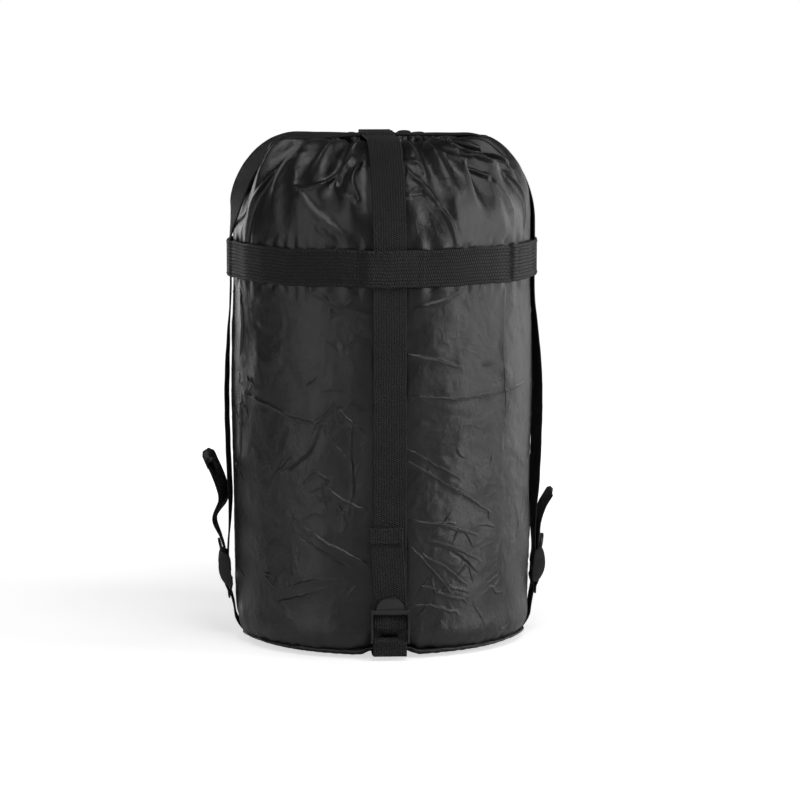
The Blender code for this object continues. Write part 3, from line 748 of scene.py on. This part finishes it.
# The creases of the front, as rows of width, height and then (degrees from the front, height) points.
# All are in millimetres but the degrees. The last twelve are on the shoulder.
FRONT_CREASES = [
    (1.12, 0.88, (-69, 208), (-52, 203), (-38, 193), (-24, 190)),
    (0.87, 0.8, (-22, 209), (-16, 196), (-10, 185)),
    (0.81, 0.64, (-30, 183), (-22, 204), (-13, 207)),
    (0.87, -0.96, (-44, 150), (-36, 158), (-30, 172), (-27, 186)),
    (0.99, 0.8, (-52, 130), (-47, 147), (-40, 160)),
    (0.93, 0.8, (-26, 186), (-20, 172), (-15, 160)),
    (0.99, 0.88, (-14, 197), (-15, 170), (-14, 140), (-16, 118)),
    (0.87, 0.8, (-34, 142), (-29, 150), (-24, 144), (-31, 135)),
    (0.93, 0.96, (-26, 142), (-18, 130), (-9, 122)),
    (0.93, 1.04, (-40, 113), (-26, 96), (-9, 79)),
    (1.12, -0.8, (-36, 98), (-25, 86), (-16, 76)),
    (0.81, 0.72, (-20, 126), (-17, 112), (-18, 104)),
    (0.99, 0.72, (-42, 55), (-30, 62), (-20, 64)),
    (0.99, 0.72, (-48, 40), (-36, 48), (-26, 56)),
    (0.93, 0.72, (-24, 30), (-18, 46), (-13, 60)),
    (0.74, 1.12, (7, 171), (18, 157), (29, 144)),
    (0.81, 1.04, (7, 161), (24, 139), (43, 115)),
    (1.24, 0.96, (7, 247), (16, 243), (27, 236)),
    (0.81, 0.64, (8, 214), (30, 210), (52, 213), (68, 216)),
    (0.81, 0.88, (8, 114), (20, 108), (36, 98)),
    (0.74, 1.12, (8, 92), (17, 70), (25, 50)),
    (0.74, 0.96, (12, 86), (22, 73), (31, 58)),
    (0.81, 0.88, (16, 96), (26, 88), (38, 76)),
    (0.74, -0.88, (24, 86), (29, 80), (36, 66)),
    (0.87, 0.72, (8, 44), (17, 42), (27, 36)),
    (0.87, 0.8, (12, 60), (21, 52), (31, 44)),
    (0.99, 0.96, (52, 296), (50, 250), (52, 205), (50, 165)),
    (1.12, 0.96, (-72, 292), (-70, 262), (-72, 240)),
    (1.12, 0.8, (-71, 205), (-72, 180), (-73, 155)),
    (1.12, 0.8, (-74, 200), (-69, 198), (-66, 190)),
    (1.86, 1.12, (10, 284), (20, 290), (28, 298)),
    (1.86, 1.12, (-8, 280), (-20, 287), (-30, 298)),
    (2.2, 2.2, (-17, 404), (-20, 392), (-21, 380), (-16, 372)),
    (1.8, 1.6, (-12, 402), (-15, 388), (-12, 372)),
    (2, 1.8, (-42, 392), (-38, 378), (-26, 385), (-16, 404)),
    (2.2, 2.4, (-56, 404), (-60, 380), (-64, 352), (-66, 334)),
    (3, 1.8, (-40, 384), (-30, 362), (-22, 350), (-14, 336)),
    (3, 1.2, (-30, 352), (-24, 344), (-20, 334)),
    (2.2, 2.6, (6, 398), (14, 380), (22, 360), (26, 336)),
    (2.2, -2.2, (7, 374), (14, 376), (20, 366), (24, 356)),
    (2, 1.8, (8, 402), (14, 398), (16, 388)),
    (2.4, 2.2, (24, 410), (40, 396), (52, 380), (58, 360)),
    (2.4, 2.6, (30, 412), (50, 402), (62, 386), (68, 366), (68, 336)),
    (2, -2, (40, 412), (58, 404), (72, 386), (76, 360)),
]


def creases():
    """The creases of the cloth as (points, width, height): those at the front, then the rest."""
    front = [
        ([(a, h / 1000) for a, h in points], width / 1000, height / 1000)
        for width, height, *points in FRONT_CREASES
    ]
    rng = np.random.default_rng(29)
    rest = []
    # small scribbled marks where the cloth was crumpled
    for middle, height, spread_a, spread_h, count in (
            (-17, 0.198, 8, 0.012, 9), (-30, 0.135, 12, 0.018, 8), (22, 0.072, 11, 0.018, 10),
            (-66, 0.205, 5, 0.010, 5), (20, 0.100, 10, 0.014, 6), (-22, 0.255, 12, 0.020, 4),
            (45, 0.140, 12, 0.030, 5), (-45, 0.060, 12, 0.020, 6), (40, 0.050, 12, 0.015, 5)):
        for _ in range(count):
            a, h = rng.normal(middle, spread_a), rng.normal(height, spread_h)
            tilt, reach = rng.uniform(0, math.pi), rng.uniform(0.004, 0.010)
            da, dh = math.degrees(reach * math.cos(tilt) / WALL_R), reach * math.sin(tilt)
            bend = rng.normal(0, 0.002)
            points = [(a - da, h - dh), (a + bend * 100, h + bend), (a + da, h + dh)]
            if min(abs(q) for q, _ in points) > 7.5 and max(abs(q) for q, _ in points) < 82:
                rest.append((points, rng.uniform(0.0006, 0.0009), rng.uniform(0.0003, 0.0006)))
    while len(rest) < 140:
        a, h = rng.uniform(-180, 180), rng.uniform(0.03, 0.29)
        if abs(a) < 76:
            continue
        tilt = rng.uniform(15, 65) * rng.choice([-1, 1])
        reach = rng.uniform(0.012, 0.040)
        bend = rng.normal(0, 0.003)
        da = math.degrees(reach * math.cos(math.radians(tilt)) / WALL_R)
        dh = reach * math.sin(math.radians(tilt))
        points = [(a - da, h - dh), (a, h + bend), (a + da, h + dh)]
        width, height = rng.uniform(0.0007, 0.0012), rng.uniform(0.0005, 0.0010)
        rest.append((points, width, height * rng.choice([1, 1, -1])))
    while len(rest) < 170:
        a = rng.uniform(80, 280)
        sweep, top = rng.uniform(-14, 14), rng.uniform(0.395, 0.412)
        points = [(a, top), (a + sweep * 0.5, 0.378), (a + sweep, rng.uniform(0.335, 0.360))]
        points = [((p + 180) % 360 - 180, h) for p, h in points]
        if max(p for p, _ in points) - min(p for p, _ in points) > 90:
            continue
        width, height = rng.uniform(0.0018, 0.0028), rng.uniform(0.0012, 0.0024)
        rest.append((points, width, height * rng.choice([1, -1])))
    return front + rest


# ---------------------------------------------------------------- webbing

STRAP_RIBS, BAND_RIBS = 13, 11
BAND_HEIGHT = BAND_HIGH - BAND_LOW
TUNNEL_LIFT, TUNNEL_FLAT, TUNNEL_END = 0.0024, 7.5, 11
STRAP_TOP_Z = 0.4172
ROW = 0.0013
# Each side's azimuth, the place of its buckle's lower bar, the buckle's lean, and its tail's shift aside.
BUCKLES = {
    "front": (-90, (0.1272, 0.0160), 2, -0.0030),
    "right": (0, (0.1276, 0.0460), 4, 0.0006),
    "back": (90, (0.1272, 0.0160), 2, 0.0014),
    "left": (180, (0.1284, 0.0445), 6, -0.0008),
}
# How far each strap stands off the wall, as (height, stand-off) points, and where each tail goes.
BOWS = {
    "front": [(0.250, 0.0), (0.180, 0.0), (0.110, 0.0004), (0.070, 0.0008), (0.054, 0.0012)],
    "right": [(0.250, 0.0026), (0.200, 0.0048), (0.150, 0.0040), (0.105, 0.0022)],
    "back": [(0.250, 0.0), (0.180, 0.0), (0.110, 0.0004), (0.070, 0.0008), (0.054, 0.0012)],
    "left": [(0.250, 0.0024), (0.200, 0.0042), (0.150, 0.0034), (0.110, 0.0022)],
}
TAILS = {
    "front": [(0.1283, 0.058), (0.1276, 0.080), (0.1270, 0.107)],
    "right": [(0.1306, 0.084), (0.1312, 0.096), (0.1350, 0.108), (0.1410, 0.118)],
    "back": [(0.1283, 0.058), (0.1276, 0.080), (0.1270, 0.107)],
    "left": [(0.1348, 0.083), (0.1398, 0.098), (0.1325, 0.114), (0.1345, 0.128), (0.1436, 0.150)],
}
STRAP_TWIST = {"front": 0, "right": 13, "back": 0, "left": -7}
TAIL_TWIST = {"front": 0, "right": -7, "back": 0, "left": 20}
PLY = WEB_THICK + GAP
LOOP_R = 0.0016 + GAP + WEB_THICK / 2
GRIP_UP = 0.012
LOOP_TOP = 0.0152
CORNER_STAND_OFF = 0.0014
HIGH_BUCKLE = 0.03
SEWN_END, SEWN_TO, BACK_TO = 0.0122, 0.0062, 0.0085
BAR_WRAP_R = 0.00175 + GAP + WEB_THICK / 2
TAIL_FOLD = 0.011
TAIL_STITCHES = (0.0016, 0.0042, 0.0085)

# The strap across the top has slipped and twisted on the left; the other leans as it goes up.
LEFT_STAND_OFF, LEFT_SHIFT, LEFT_TWIST = -0.0034, 0.0060, 25
FRONT_LEAN = -0.0038
CROSSING_LIFT = 0.0018

# The overlapped end of the band, in degrees to the right of the front.
OVERLAP_FROM, OVERLAP_TO = 53, 77


class Ribbon:
    """A strip of webbing: its middle line, the direction across it and the direction it faces."""

    def __init__(self, line, across, width=WEB_WIDTH, ribs=STRAP_RIBS, twist=None, seed=0, wander=0.0002,
                 closed=False, step=ROW):
        line = resample(np.asarray(line, float), step)
        self.run = np.concatenate([[0], np.cumsum(np.linalg.norm(np.diff(line, axis=0), axis=1))])
        share = self.run / self.run[-1]
        if closed:
            line = line[:-1]
            tangent = np.roll(line, -1, 0) - np.roll(line, 1, 0)
        else:
            tangent = np.gradient(line, axis=0)
        tangent /= np.linalg.norm(tangent, axis=1)[:, None]
        face = np.cross(np.asarray(across, float), tangent)
        face /= np.linalg.norm(face, axis=1)[:, None]
        side = np.cross(tangent, face)
        share = share[:len(line)]
        if twist is not None:
            angle = np.radians(twist(share))[:, None]
            c, s = np.cos(angle), np.sin(angle)
            side, face = c * side + s * face, c * face - s * side
        self.line, self.side, self.face = line, side, face
        self.width, self.ribs, self.closed = width, ribs, closed
        self.seed, self.wander, self.share = seed, wander, share

    def rings(self):
        """Rings of points around the strip with their places on the weave."""
        rng = np.random.default_rng(self.seed)
        columns = 2 * self.ribs + 1
        u = np.linspace(-0.5, 0.5, columns) * self.width
        half = WEB_THICK / 2 * np.where(np.arange(columns) % 2, 1.0, 0.82)
        half[[0, -1]] = WEB_THICK * 0.16
        half[[1, -2]] = WEB_THICK * 0.56
        turn = self.share * 2 * math.pi
        phase = rng.uniform(0, 2 * math.pi, 8)
        fade = np.ones_like(turn) if self.closed else np.sin(math.pi * np.clip(self.share, 0.0, 1.0)) ** 0.7
        waves = max(3, round(self.run[-1] / 0.030))

        def wave(fast, faster, share, i):
            return (np.sin(fast * turn + phase[i]) + share * np.sin(faster * turn + phase[i + 1])) * fade

        sway = wave(waves, 2 * waves + 1, 0.7, 0)[:, None]
        edge_a = wave(waves + 2, 3 * waves + 1, 0.6, 2)[:, None]
        edge_b = wave(waves + 1, 3 * waves + 2, 0.6, 4)[:, None]
        edge = 0.8 * np.where(u < 0, edge_a, edge_b) * (np.abs(u) / (self.width / 2)) ** 4
        across = u[None, :] + self.wander * (sway + edge)
        lift = self.wander * 0.6 * np.sin((waves + 1) * turn + phase[6])[:, None] * fade[:, None]
        both = np.concatenate([across, across[:, ::-1]], 1)
        out = np.concatenate([lift + half, (lift - half)[:, ::-1]], 1)
        points = self.line[:, None] + self.side[:, None] * both[..., None]
        points = points + self.face[:, None] * out[..., None]
        weave_u = np.concatenate([u, u[::-1], u[:1]]) + self.width / 2
        weave = np.stack(np.broadcast_arrays(weave_u[None, :], self.run[:, None]), 2)
        return points, weave

    def place(self, u, run, lift):
        """Points on the strip's face, and which way it looks there."""
        at = np.clip(run, 0, self.run[-1])
        size = len(self.line)
        index = self.run[:size]
        point, side, face = (
            np.column_stack([np.interp(at, index, a[:, i]) for i in range(3)])
            for a in (self.line, self.side, self.face)
        )
        return point + side * np.asarray(u)[:, None] + face * np.asarray(lift)[:, None], face


class Piece:
    """One mesh of ribbons and stitches."""

    def __init__(self):
        self.points, self.faces, self.weave, self.kinds = [], [], [], []
        self.count = 0

    def loft(self, rings, weave, kind=0, closed=False, capped=True):
        rows, columns = rings.shape[:2]
        row = np.arange(rows if closed else rows - 1)[:, None]
        column = np.arange(columns)[None, :]
        after, beside = (row + 1) % rows, (column + 1) % columns
        corners = [(row, column), (row, beside), (after, beside), (after, column)]
        corners = [r * columns + c for r, c in corners]
        faces = np.stack([c.reshape(-1) for c in corners], 1) + self.count
        spots = [weave[row + r, column + c] for r, c in ((0, 0), (0, 1), (1, 1), (1, 0))]
        spots = np.stack(spots, 2).reshape(-1, 4, 2)
        self.faces += faces.tolist()
        self.weave.append(spots.reshape(-1, 2))
        self.kinds += [kind] * len(faces)
        if capped and not closed:
            for first, order in ((0, -1), (rows - 1, 1)):
                ends = (np.arange(columns) + first * columns + self.count)[::order]
                self.faces.append(ends.tolist())
                self.weave.append(np.zeros((columns, 2)))
                self.kinds.append(kind)
        self.points.append(rings.reshape(-1, 3))
        self.count += rows * columns

    def ribbon(self, ribbon):
        rings, weave = ribbon.rings()
        self.loft(rings, weave, closed=ribbon.closed)
        return ribbon

    def stitches(self, ribbon, path, lift=WEB_THICK / 2, length=0.0024, gap=0.0007, radius=0.00030, seed=5):
        """Stitches of thread on a ribbon's face, along a path of (across, run) points."""
        rng = np.random.default_rng(seed)
        path = np.asarray(path, float)
        whole = np.concatenate([[0], np.cumsum(np.linalg.norm(np.diff(path, axis=0), axis=1))])
        starts = np.arange(0, whole[-1] - length, length + gap)
        if not len(starts):
            return
        steps = np.linspace(0, 1, 5)
        spots = starts[:, None] + steps * length * rng.uniform(0.9, 1.05, (len(starts), 1))
        u = np.interp(spots, whole, path[:, 0]).reshape(-1)
        run = np.interp(spots, whole, path[:, 1]).reshape(-1)
        rise = np.tile(lift + radius * np.array([-1.4, 0.2, 0.5, 0.2, -1.4]), len(starts))
        middle, face = ribbon.place(u, run, rise)
        middle = middle.reshape(len(starts), 5, 3)
        face = face.reshape(len(starts), 5, 3)
        tangent = np.gradient(middle, axis=1)
        tangent /= np.linalg.norm(tangent, axis=2)[..., None]
        side = np.cross(tangent, face)
        angle = np.radians(np.arange(0, 360, 60))
        c, s = np.cos(angle)[:, None], np.sin(angle)[:, None]
        ring = (side[:, :, None] * c + face[:, :, None] * s) * radius
        rings = middle[:, :, None] + ring
        for one in rings:
            self.loft(one, np.zeros((5, 7, 2)), kind=1)

    def object(self, name, materials):
        mesh = bpy.data.meshes.new(name)
        mesh.from_pydata(np.vstack(self.points).tolist(), [], self.faces)
        mesh.uv_layers.new(name="weave").data.foreach_set("uv", np.vstack(self.weave).reshape(-1))
        obj = link(name, mesh, materials[0])
        for other in materials[1:]:
            mesh.materials.append(other)
        mesh.polygons.foreach_set("material_index", self.kinds)
        mesh.shade_smooth()
        mesh.set_sharp_from_angle(angle=math.radians(60))
        return obj


def wall_radius(z):
    """The sack's outer radius at a height between the bottom corner and the band."""
    foot = FLAT_R + CORNER_R
    return foot + (WALL_R - foot) * (z - FOOT_Z) / (WALL_TOP_Z - FOOT_Z)


class Side:
    """One side of the sack, with its buckle's place in that side's own plane."""

    def __init__(self, name):
        azimuth, (self.radius, self.height), lean, self.tail_shift = BUCKLES[name]
        self.name = name
        self.lean = math.radians(lean)
        a = math.radians(azimuth)
        self.out = np.array([math.cos(a), math.sin(a), 0])
        self.across = np.array([-math.sin(a), math.cos(a), 0])

    def at(self, out, up):
        s, c = math.sin(self.lean), math.cos(self.lean)
        return (self.radius + out * c + up * s, self.height - out * s + up * c)

    def placed(self, path, aside=0.0):
        path = np.asarray(path, float)
        aside = np.broadcast_to(aside, len(path))
        return path[:, :1] * self.out + aside[:, None] * self.across + path[:, 1:] * np.array([0, 0, 1.0])

    def long_strap(self):
        points = [(STRAP_R, BAND_MIDDLE - GAP), (STRAP_R, BAND_MIDDLE - 0.030)]
        points += [(wall_radius(z) + GAP + WEB_THICK / 2 + off, z) for z, off in BOWS[self.name]]
        points += [self.at(-0.0021, 0.0246), self.at(-LOOP_R, 0.0155)]
        most = STRAP_TWIST[self.name]
        piece = Piece()
        piece.ribbon(Ribbon(
            self.placed(spline(points, 6)), -self.across, seed=len(self.name) + 3,
            twist=lambda s: most * smoothstep(0.10, 0.40, s) * (1 - smoothstep(0.72, 0.97, s)),
        ))
        obj = piece.object(self.name + "_strap_web", [WEBBING])
        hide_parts(self.name + "_strap")
        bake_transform(obj)

    def strap_turn(self):
        arc = ellipse((0, GRIP_UP), (LOOP_R, LOOP_R), 180, 360, 16)
        points = [(-LOOP_R, LOOP_TOP), *arc, (LOOP_R, LOOP_TOP), (0.0014, 0.0186), (0.0007, 0.0205)]
        piece = Piece()
        piece.ribbon(Ribbon(self.placed([self.at(*p) for p in points]), self.across, wander=0, step=0.0006))
        obj = piece.object(self.name + "_strap_turn_web", [WEBBING])
        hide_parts(self.name + "_strap_turn")
        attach(obj, self.name + "_buckle")

    def tail(self):
        points = [self.at(0.0005, 0.0209), self.at(0.0004, 0.0285), *TAILS[self.name]]
        path = spline(points, 8)
        along = (path[-1] - path[-2]) / np.linalg.norm(path[-1] - path[-2])
        out = np.array([along[1], -along[0]])
        turn = np.radians(np.linspace(18, 180, 10))[:, None]
        fold = path[-1] + PLY / 2 * (out * (1 - np.cos(turn)) + along * np.sin(turn))
        line = np.vstack([path, fold, fold[-1:] - along * TAIL_FOLD])
        run = np.concatenate([[0], np.cumsum(np.linalg.norm(np.diff(line, axis=0), axis=1))])
        aside = self.tail_shift * smoothstep(0.006, run[-1] - TAIL_FOLD, run)
        most = TAIL_TWIST[self.name]
        piece = Piece()
        strip = piece.ribbon(Ribbon(
            self.placed(line, aside), self.across, seed=len(self.name), wander=0.00012, step=0.0009,
            twist=lambda s: most * smoothstep(0.15, 0.6, s),
        ))
        end = strip.run[-1]
        reach = WEB_WIDTH / 2 - 0.002
        for back in TAIL_STITCHES:
            piece.stitches(strip, [(-reach, end - back), (reach, end - back)])
        obj = piece.object(self.name + "_tail_web", [WEBBING, THREAD])
        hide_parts(self.name + "_tail")
        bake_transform(obj)

    def bottom_path(self):
        end = [self.at(PLY / 2, -SEWN_END), self.at(PLY / 2, -SEWN_TO)]
        turn = [self.at(BAR_WRAP_R * math.cos(a), BAR_WRAP_R * math.sin(a))
                for a in np.radians(np.linspace(-15, 195, 24))]
        back = [self.at(-PLY / 2, -SEWN_TO), self.at(-PLY / 2, -BACK_TO)]
        high = self.height > HIGH_BUCKLE
        semi = (CORNER_R + CORNER_STAND_OFF, FOOT_Z - WEB_THICK / 2)
        corner = ellipse((FLAT_R, FOOT_Z), semi, -20 if high else -64, -90, 12)
        bend = [[(FLAT_R + CORNER_R + CORNER_STAND_OFF, FOOT_Z)]] if high else []
        down = spline([*back, *(b[0] for b in bend), *corner[:3]], 4)
        return np.vstack([end, turn, down, corner[3:]])


def bottom_strap(node, near, far, crosses_over):
    """A strap under the sack from one buckle to the opposite one."""
    first = near.bottom_path()
    last = far.bottom_path()[::-1] * [-1, 1]
    floor = WEB_THICK / 2
    raised = floor + PLY
    middle = [(0.0200, floor), (0.0165, raised), (-0.0165, raised), (-0.0200, floor)] if crosses_over else [
        (0.0165, floor), (-0.0165, floor)]
    piece = Piece()
    strip = piece.ribbon(Ribbon(near.placed(np.vstack([first, middle, last])), near.across, wander=0.00006,
                                step=0.0008))
    reach = WEB_WIDTH / 2 - 0.002
    for run in (0.0015, 0.0038):
        for place in (run, strip.run[-1] - run):
            piece.stitches(strip, [(-reach, place), (reach, place)])
            piece.stitches(strip, [(-reach, place), (reach, place)], lift=-WEB_THICK / 2)
    obj = piece.object(node + "_web", [WEBBING, THREAD])
    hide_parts(node)
    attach(obj, "base")


def top_strap(node, side, crosses_over):
    """A strap over the top of the sack. The one across has slipped and twisted on the left."""
    semi = (STRAP_R - DOME_FLAT_R, STRAP_TOP_Z - DOME_START_Z)
    dome = ellipse((DOME_FLAT_R, DOME_START_Z), semi, 0, 90, 30)
    half = [(STRAP_R, BAND_MIDDLE), *dome]
    if crosses_over:
        top = STRAP_TOP_Z + CROSSING_LIFT
        half += [(0.0240, STRAP_TOP_Z), (0.0170, top), (0.0, top)]
    else:
        half.append((0.0, STRAP_TOP_Z))
    half = resample(np.array(half), 0.0012)
    run = np.concatenate([[0], np.cumsum(np.linalg.norm(np.diff(half, axis=0), axis=1))])
    slope = np.gradient(half, axis=0)
    slope /= np.linalg.norm(slope, axis=1)[:, None]
    outward = np.column_stack([slope[:, 1], -slope[:, 0]])
    rise = smoothstep(0.012, 0.045, run) * (1 - smoothstep(0.075, run[-1] - 0.010, run))
    left = half + outward * (rise * LEFT_STAND_OFF)[:, None] if not crosses_over else half
    path = np.vstack([half, (left * [-1, 1])[::-1][1:]])
    if crosses_over:
        lean = FRONT_LEAN * smoothstep(0.0, run[-1], run)
        shift = np.concatenate([lean, lean[::-1][1:]])
    else:
        shift = np.concatenate([np.zeros(len(half)), -(rise * LEFT_SHIFT)[::-1][1:]])
    whole = 2 * run[-1]
    twist = None
    if not crosses_over:
        def twist(share):
            back = whole * (1 - share)
            leave = 1 - smoothstep(0.080, run[-1] - 0.006, back)
            return LEFT_TWIST * smoothstep(0.015, 0.060, back) * leave
    piece = Piece()
    piece.ribbon(Ribbon(side.placed(path, shift), side.across, twist=twist, seed=4, wander=0.00015))
    obj = piece.object(node + "_web", [WEBBING])
    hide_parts(node)
    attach(obj, "top")


def band_radius(degrees):
    off = np.abs((degrees + 45) % 90 - 45)
    return STRAP_R + TUNNEL_LIFT * (1 - smoothstep(TUNNEL_FLAT, TUNNEL_END, off))


def band():
    """The band, with its overlapped end at the right and its stitching."""
    turn = np.linspace(-90, 270, 721)
    rng = np.random.default_rng(8)
    phase = rng.uniform(0, 2 * math.pi, 4)
    t = np.radians(turn)
    wave = 0.00035 * np.sin(7 * t + phase[0]) + 0.00025 * np.sin(12 * t + phase[1])
    bulge = (0.0002 * np.sin(17 * t + phase[2]) + 0.0002 * np.sin(29 * t + phase[3])) * (
        np.abs((turn + 45) % 90 - 45) > TUNNEL_END)
    radius = band_radius(turn) + bulge
    circle = np.column_stack([radius * np.cos(t), radius * np.sin(t), BAND_MIDDLE + wave])
    piece = Piece()
    strip = piece.ribbon(
        Ribbon(circle, (0, 0, -1), BAND_HEIGHT, BAND_RIBS, wander=0.00022, closed=True, seed=2))
    around = strip.run[-1] / 360
    reach = BAND_HEIGHT / 2
    for u in (-reach + 0.0022, reach - 0.0022):
        piece.stitches(strip, [(u, 0.0), (u, strip.run[-1] - 0.004)], length=0.0028)
    for middle in (0, 90, 180, 270):
        for off in (-TUNNEL_END - 0.6, -TUNNEL_END - 1.9, TUNNEL_END + 0.6, TUNNEL_END + 1.9):
            run = ((middle + off) % 360) * around
            piece.stitches(strip, [(-reach + 0.003, run), (reach - 0.003, run)])
    # The overlapped end is a second ply.
    over = np.linspace(OVERLAP_FROM, OVERLAP_TO, 61)
    t = np.radians(over - 90)
    lift = WEB_THICK * smoothstep(OVERLAP_FROM, OVERLAP_FROM + 1.2, over)
    lift *= 1 - smoothstep(OVERLAP_TO - 1.4, OVERLAP_TO, over)
    radius = band_radius(over) + lift
    ply = np.column_stack([radius * np.cos(t), radius * np.sin(t), np.full(len(t), BAND_MIDDLE + 0.0003)])
    second = piece.ribbon(Ribbon(ply, (0, 0, -1), BAND_HEIGHT - 0.0006, BAND_RIBS, wander=0.0001, seed=6))
    for at in (54.8, 58.8, 73.0, 75.0):
        run = (at - OVERLAP_FROM) * around
        piece.stitches(second, [(-reach + 0.003, run), (reach - 0.003, run)])
    obj = piece.object("band_web", [BAND_WEBBING, THREAD])
    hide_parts("band")
    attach(obj, "top")


def webbing_pieces():
    sides = {name: Side(name) for name in SIDES}
    for side in sides.values():
        side.long_strap()
        side.strap_turn()
        side.tail()
    top_strap("top_strap_across", sides["right"], crosses_over=False)
    top_strap("top_strap_front_to_back", sides["front"], crosses_over=True)
    bottom_strap("bottom_strap_across", sides["right"], sides["left"], crosses_over=True)
    bottom_strap("bottom_strap_front_to_back", sides["front"], sides["back"], crosses_over=False)
    band()


# ---------------------------------------------------------------- small parts


# The gathered channel around the mouth, and the piping in the base seam. The cord lock's plunger moves across
# the sack.
CHANNEL_R, CHANNEL_Z, CHANNEL_TUBE_R = 0.0285, 0.394, 0.0047
PIPING_R = 0.00085


def refine(node, material, width, angle=28):
    """Keeps a solid as it is, with its edges rounded, smooth shading and a worked surface."""
    obj = bpy.data.objects[node]
    obj.data.materials.clear()
    obj.data.materials.append(material)
    weld = obj.modifiers.new("Weld", "WELD")
    weld.merge_threshold = 1e-5
    bevel = obj.modifiers.new("Bevel", "BEVEL")
    bevel.width = width
    bevel.segments = 2
    bevel.limit_method = "ANGLE"
    bevel.angle_limit = math.radians(angle)
    obj.data.shade_smooth()


def channel(material):
    """The drawstring channel: a hem of cloth gathered into pleats on the cord."""
    rng = np.random.default_rng(17)
    turn = np.linspace(0, 2 * math.pi, 720, endpoint=False)[:, None]
    around = np.linspace(0, 2 * math.pi, 24, endpoint=False)[None, :]
    phase = rng.uniform(0, 2 * math.pi, 4)
    warped = turn + 0.05 * np.sin(5 * turn + phase[0]) + 0.03 * np.sin(9 * turn + phase[1])
    pleats = 0.5 * np.sin(38 * warped) + 0.3 * np.sin(61 * warped + phase[2]) + 0.2 * np.sin(90 * warped)
    deep = 0.35 + 0.65 * np.clip(np.cos(around) * 0.6 + 0.6, 0, 1)
    tube_r = CHANNEL_TUBE_R + 0.0008 * pleats * deep
    radius = CHANNEL_R + tube_r * np.cos(around)
    height = CHANNEL_Z + tube_r * np.sin(around) + 0.0004 * np.sin(7 * turn + phase[3])
    rings = turned(radius, turn, height)
    piece = Piece()
    weave = np.stack(np.broadcast_arrays(
        np.linspace(0, 0.030, 25)[None, :], np.linspace(0, 0.40, 721)[:, None]), 2)
    piece.loft(rings, weave, closed=True)
    obj = piece.object("gathered_channel", [material])
    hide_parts("drawstring_channel")
    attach(obj, "top")


def base_panel(material):
    """The round base panel, puckered at its seam, with the piping sewn into the seam."""
    rng = np.random.default_rng(23)
    low = ellipse((FLAT_R, FOOT_Z), (CORNER_R, CORNER_Z), SEAM_ANGLE - 0.4, -90, 14)
    line = resample(np.vstack([low, [(0.0012, BASE_Z)]]), 0.0024)
    turn = np.linspace(0, 2 * math.pi, 480, endpoint=False)[None, :]
    r, z = line[:, :1], line[:, 1:]
    away = (np.cumsum(np.linalg.norm(np.diff(line, axis=0, prepend=line[:1]), axis=1)))[:, None]
    phase = rng.uniform(0, 2 * math.pi, 8)
    pucker = np.sin(96 * turn + 1.5 * np.sin(7 * turn + phase[0])) + 0.7 * np.sin(57 * turn + phase[1])
    pucker = 0.0005 * pucker * np.exp(-(away / 0.010) ** 2)
    swell = sum(np.sin(k * turn + 40 * r + phase[k % 8]) for k in (3, 5, 8, 13)) * 0.0002
    inward = pucker + swell * smoothstep(0.0, 0.02, away) + 0.0003
    x, y = (r - inward * 0.5) * np.cos(turn), (r - inward * 0.5) * np.sin(turn)
    drop, spread = sag(x, y, z)
    rings = np.stack([x * spread, y * spread, np.maximum(z - drop + np.abs(inward) * 0.6, 0.0006)], 2)
    piece = Piece()
    weave = np.stack([np.concatenate([rings[..., 0], rings[:, :1, 0]], 1),
                      np.concatenate([rings[..., 1], rings[:, :1, 1]], 1)], 2)
    piece.loft(rings, weave, capped=True)
    around = np.linspace(0, 2 * math.pi, 10, endpoint=False)[None, :]
    long = np.linspace(0, 2 * math.pi, 720, endpoint=False)[:, None]
    seam_r, seam_z = low[0]
    wave = 0.0003 * np.sin(31 * long + phase[2]) + 0.0002 * np.sin(53 * long + phase[3])
    cord = PIPING_R + 0.0001 * np.sin(160 * long)
    radius = seam_r - 0.0001 + wave + cord * np.cos(around)
    height = seam_z - 0.0004 + wave + cord * np.sin(around)
    x, y = radius * np.cos(long), radius * np.sin(long)
    drop, spread = sag(x, y, np.full_like(x, seam_z))
    ring = np.stack([x * spread, y * spread, height - drop], 2)
    spots = np.stack(np.broadcast_arrays(
        np.linspace(0, 0.006, 11)[None, :], np.linspace(0, 0.66, 721)[:, None]), 2)
    piece.loft(ring, spots, closed=True)
    obj = piece.object("base_panel_cloth", [material])
    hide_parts("base_panel")
    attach(obj, "base")


def lock_spring():
    """Gives the cord lock's spring, which closes up from its end in the barrel as its plunger is pressed, a
    mesh of its own.
    """
    coil = bpy.data.objects["cord_lock_spring"]
    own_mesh(coil)


def small_parts():
    for name in SIDES:
        refine(name + "_buckle", PLASTIC, 0.0003)
    refine("cord_lock_barrel", PLASTIC, 0.0004)
    refine("cord_lock_plunger", PLASTIC, 0.0004)
    refine("drawcord", BRAID, 0.0001, 60)
    refine("cord_lock_spring", WIRE, 0.00005, 60)
    lock_spring()
    channel(NYLON)
    base_panel(NYLON)


camera()
studio()
NYLON = nylon()
# The last colour of each webbing is the tone on its raised weave, a painted highlight; its hollows take the
# dark colour as painted shade.
WEBBING = webbing("strap_webbing", WEB_WIDTH / STRAP_RIBS, 0.0017, (0.0130, 0.0130, 0.0135))
BAND_WEBBING = webbing("band_webbing", BAND_HEIGHT / BAND_RIBS, 0.0019, (0.0140, 0.0140, 0.0145))
PLASTIC = plastic()
THREAD = thread()
BRAID = braid()
WIRE = drawn_wire()
sack_cloth(NYLON)
webbing_pieces()
small_parts()
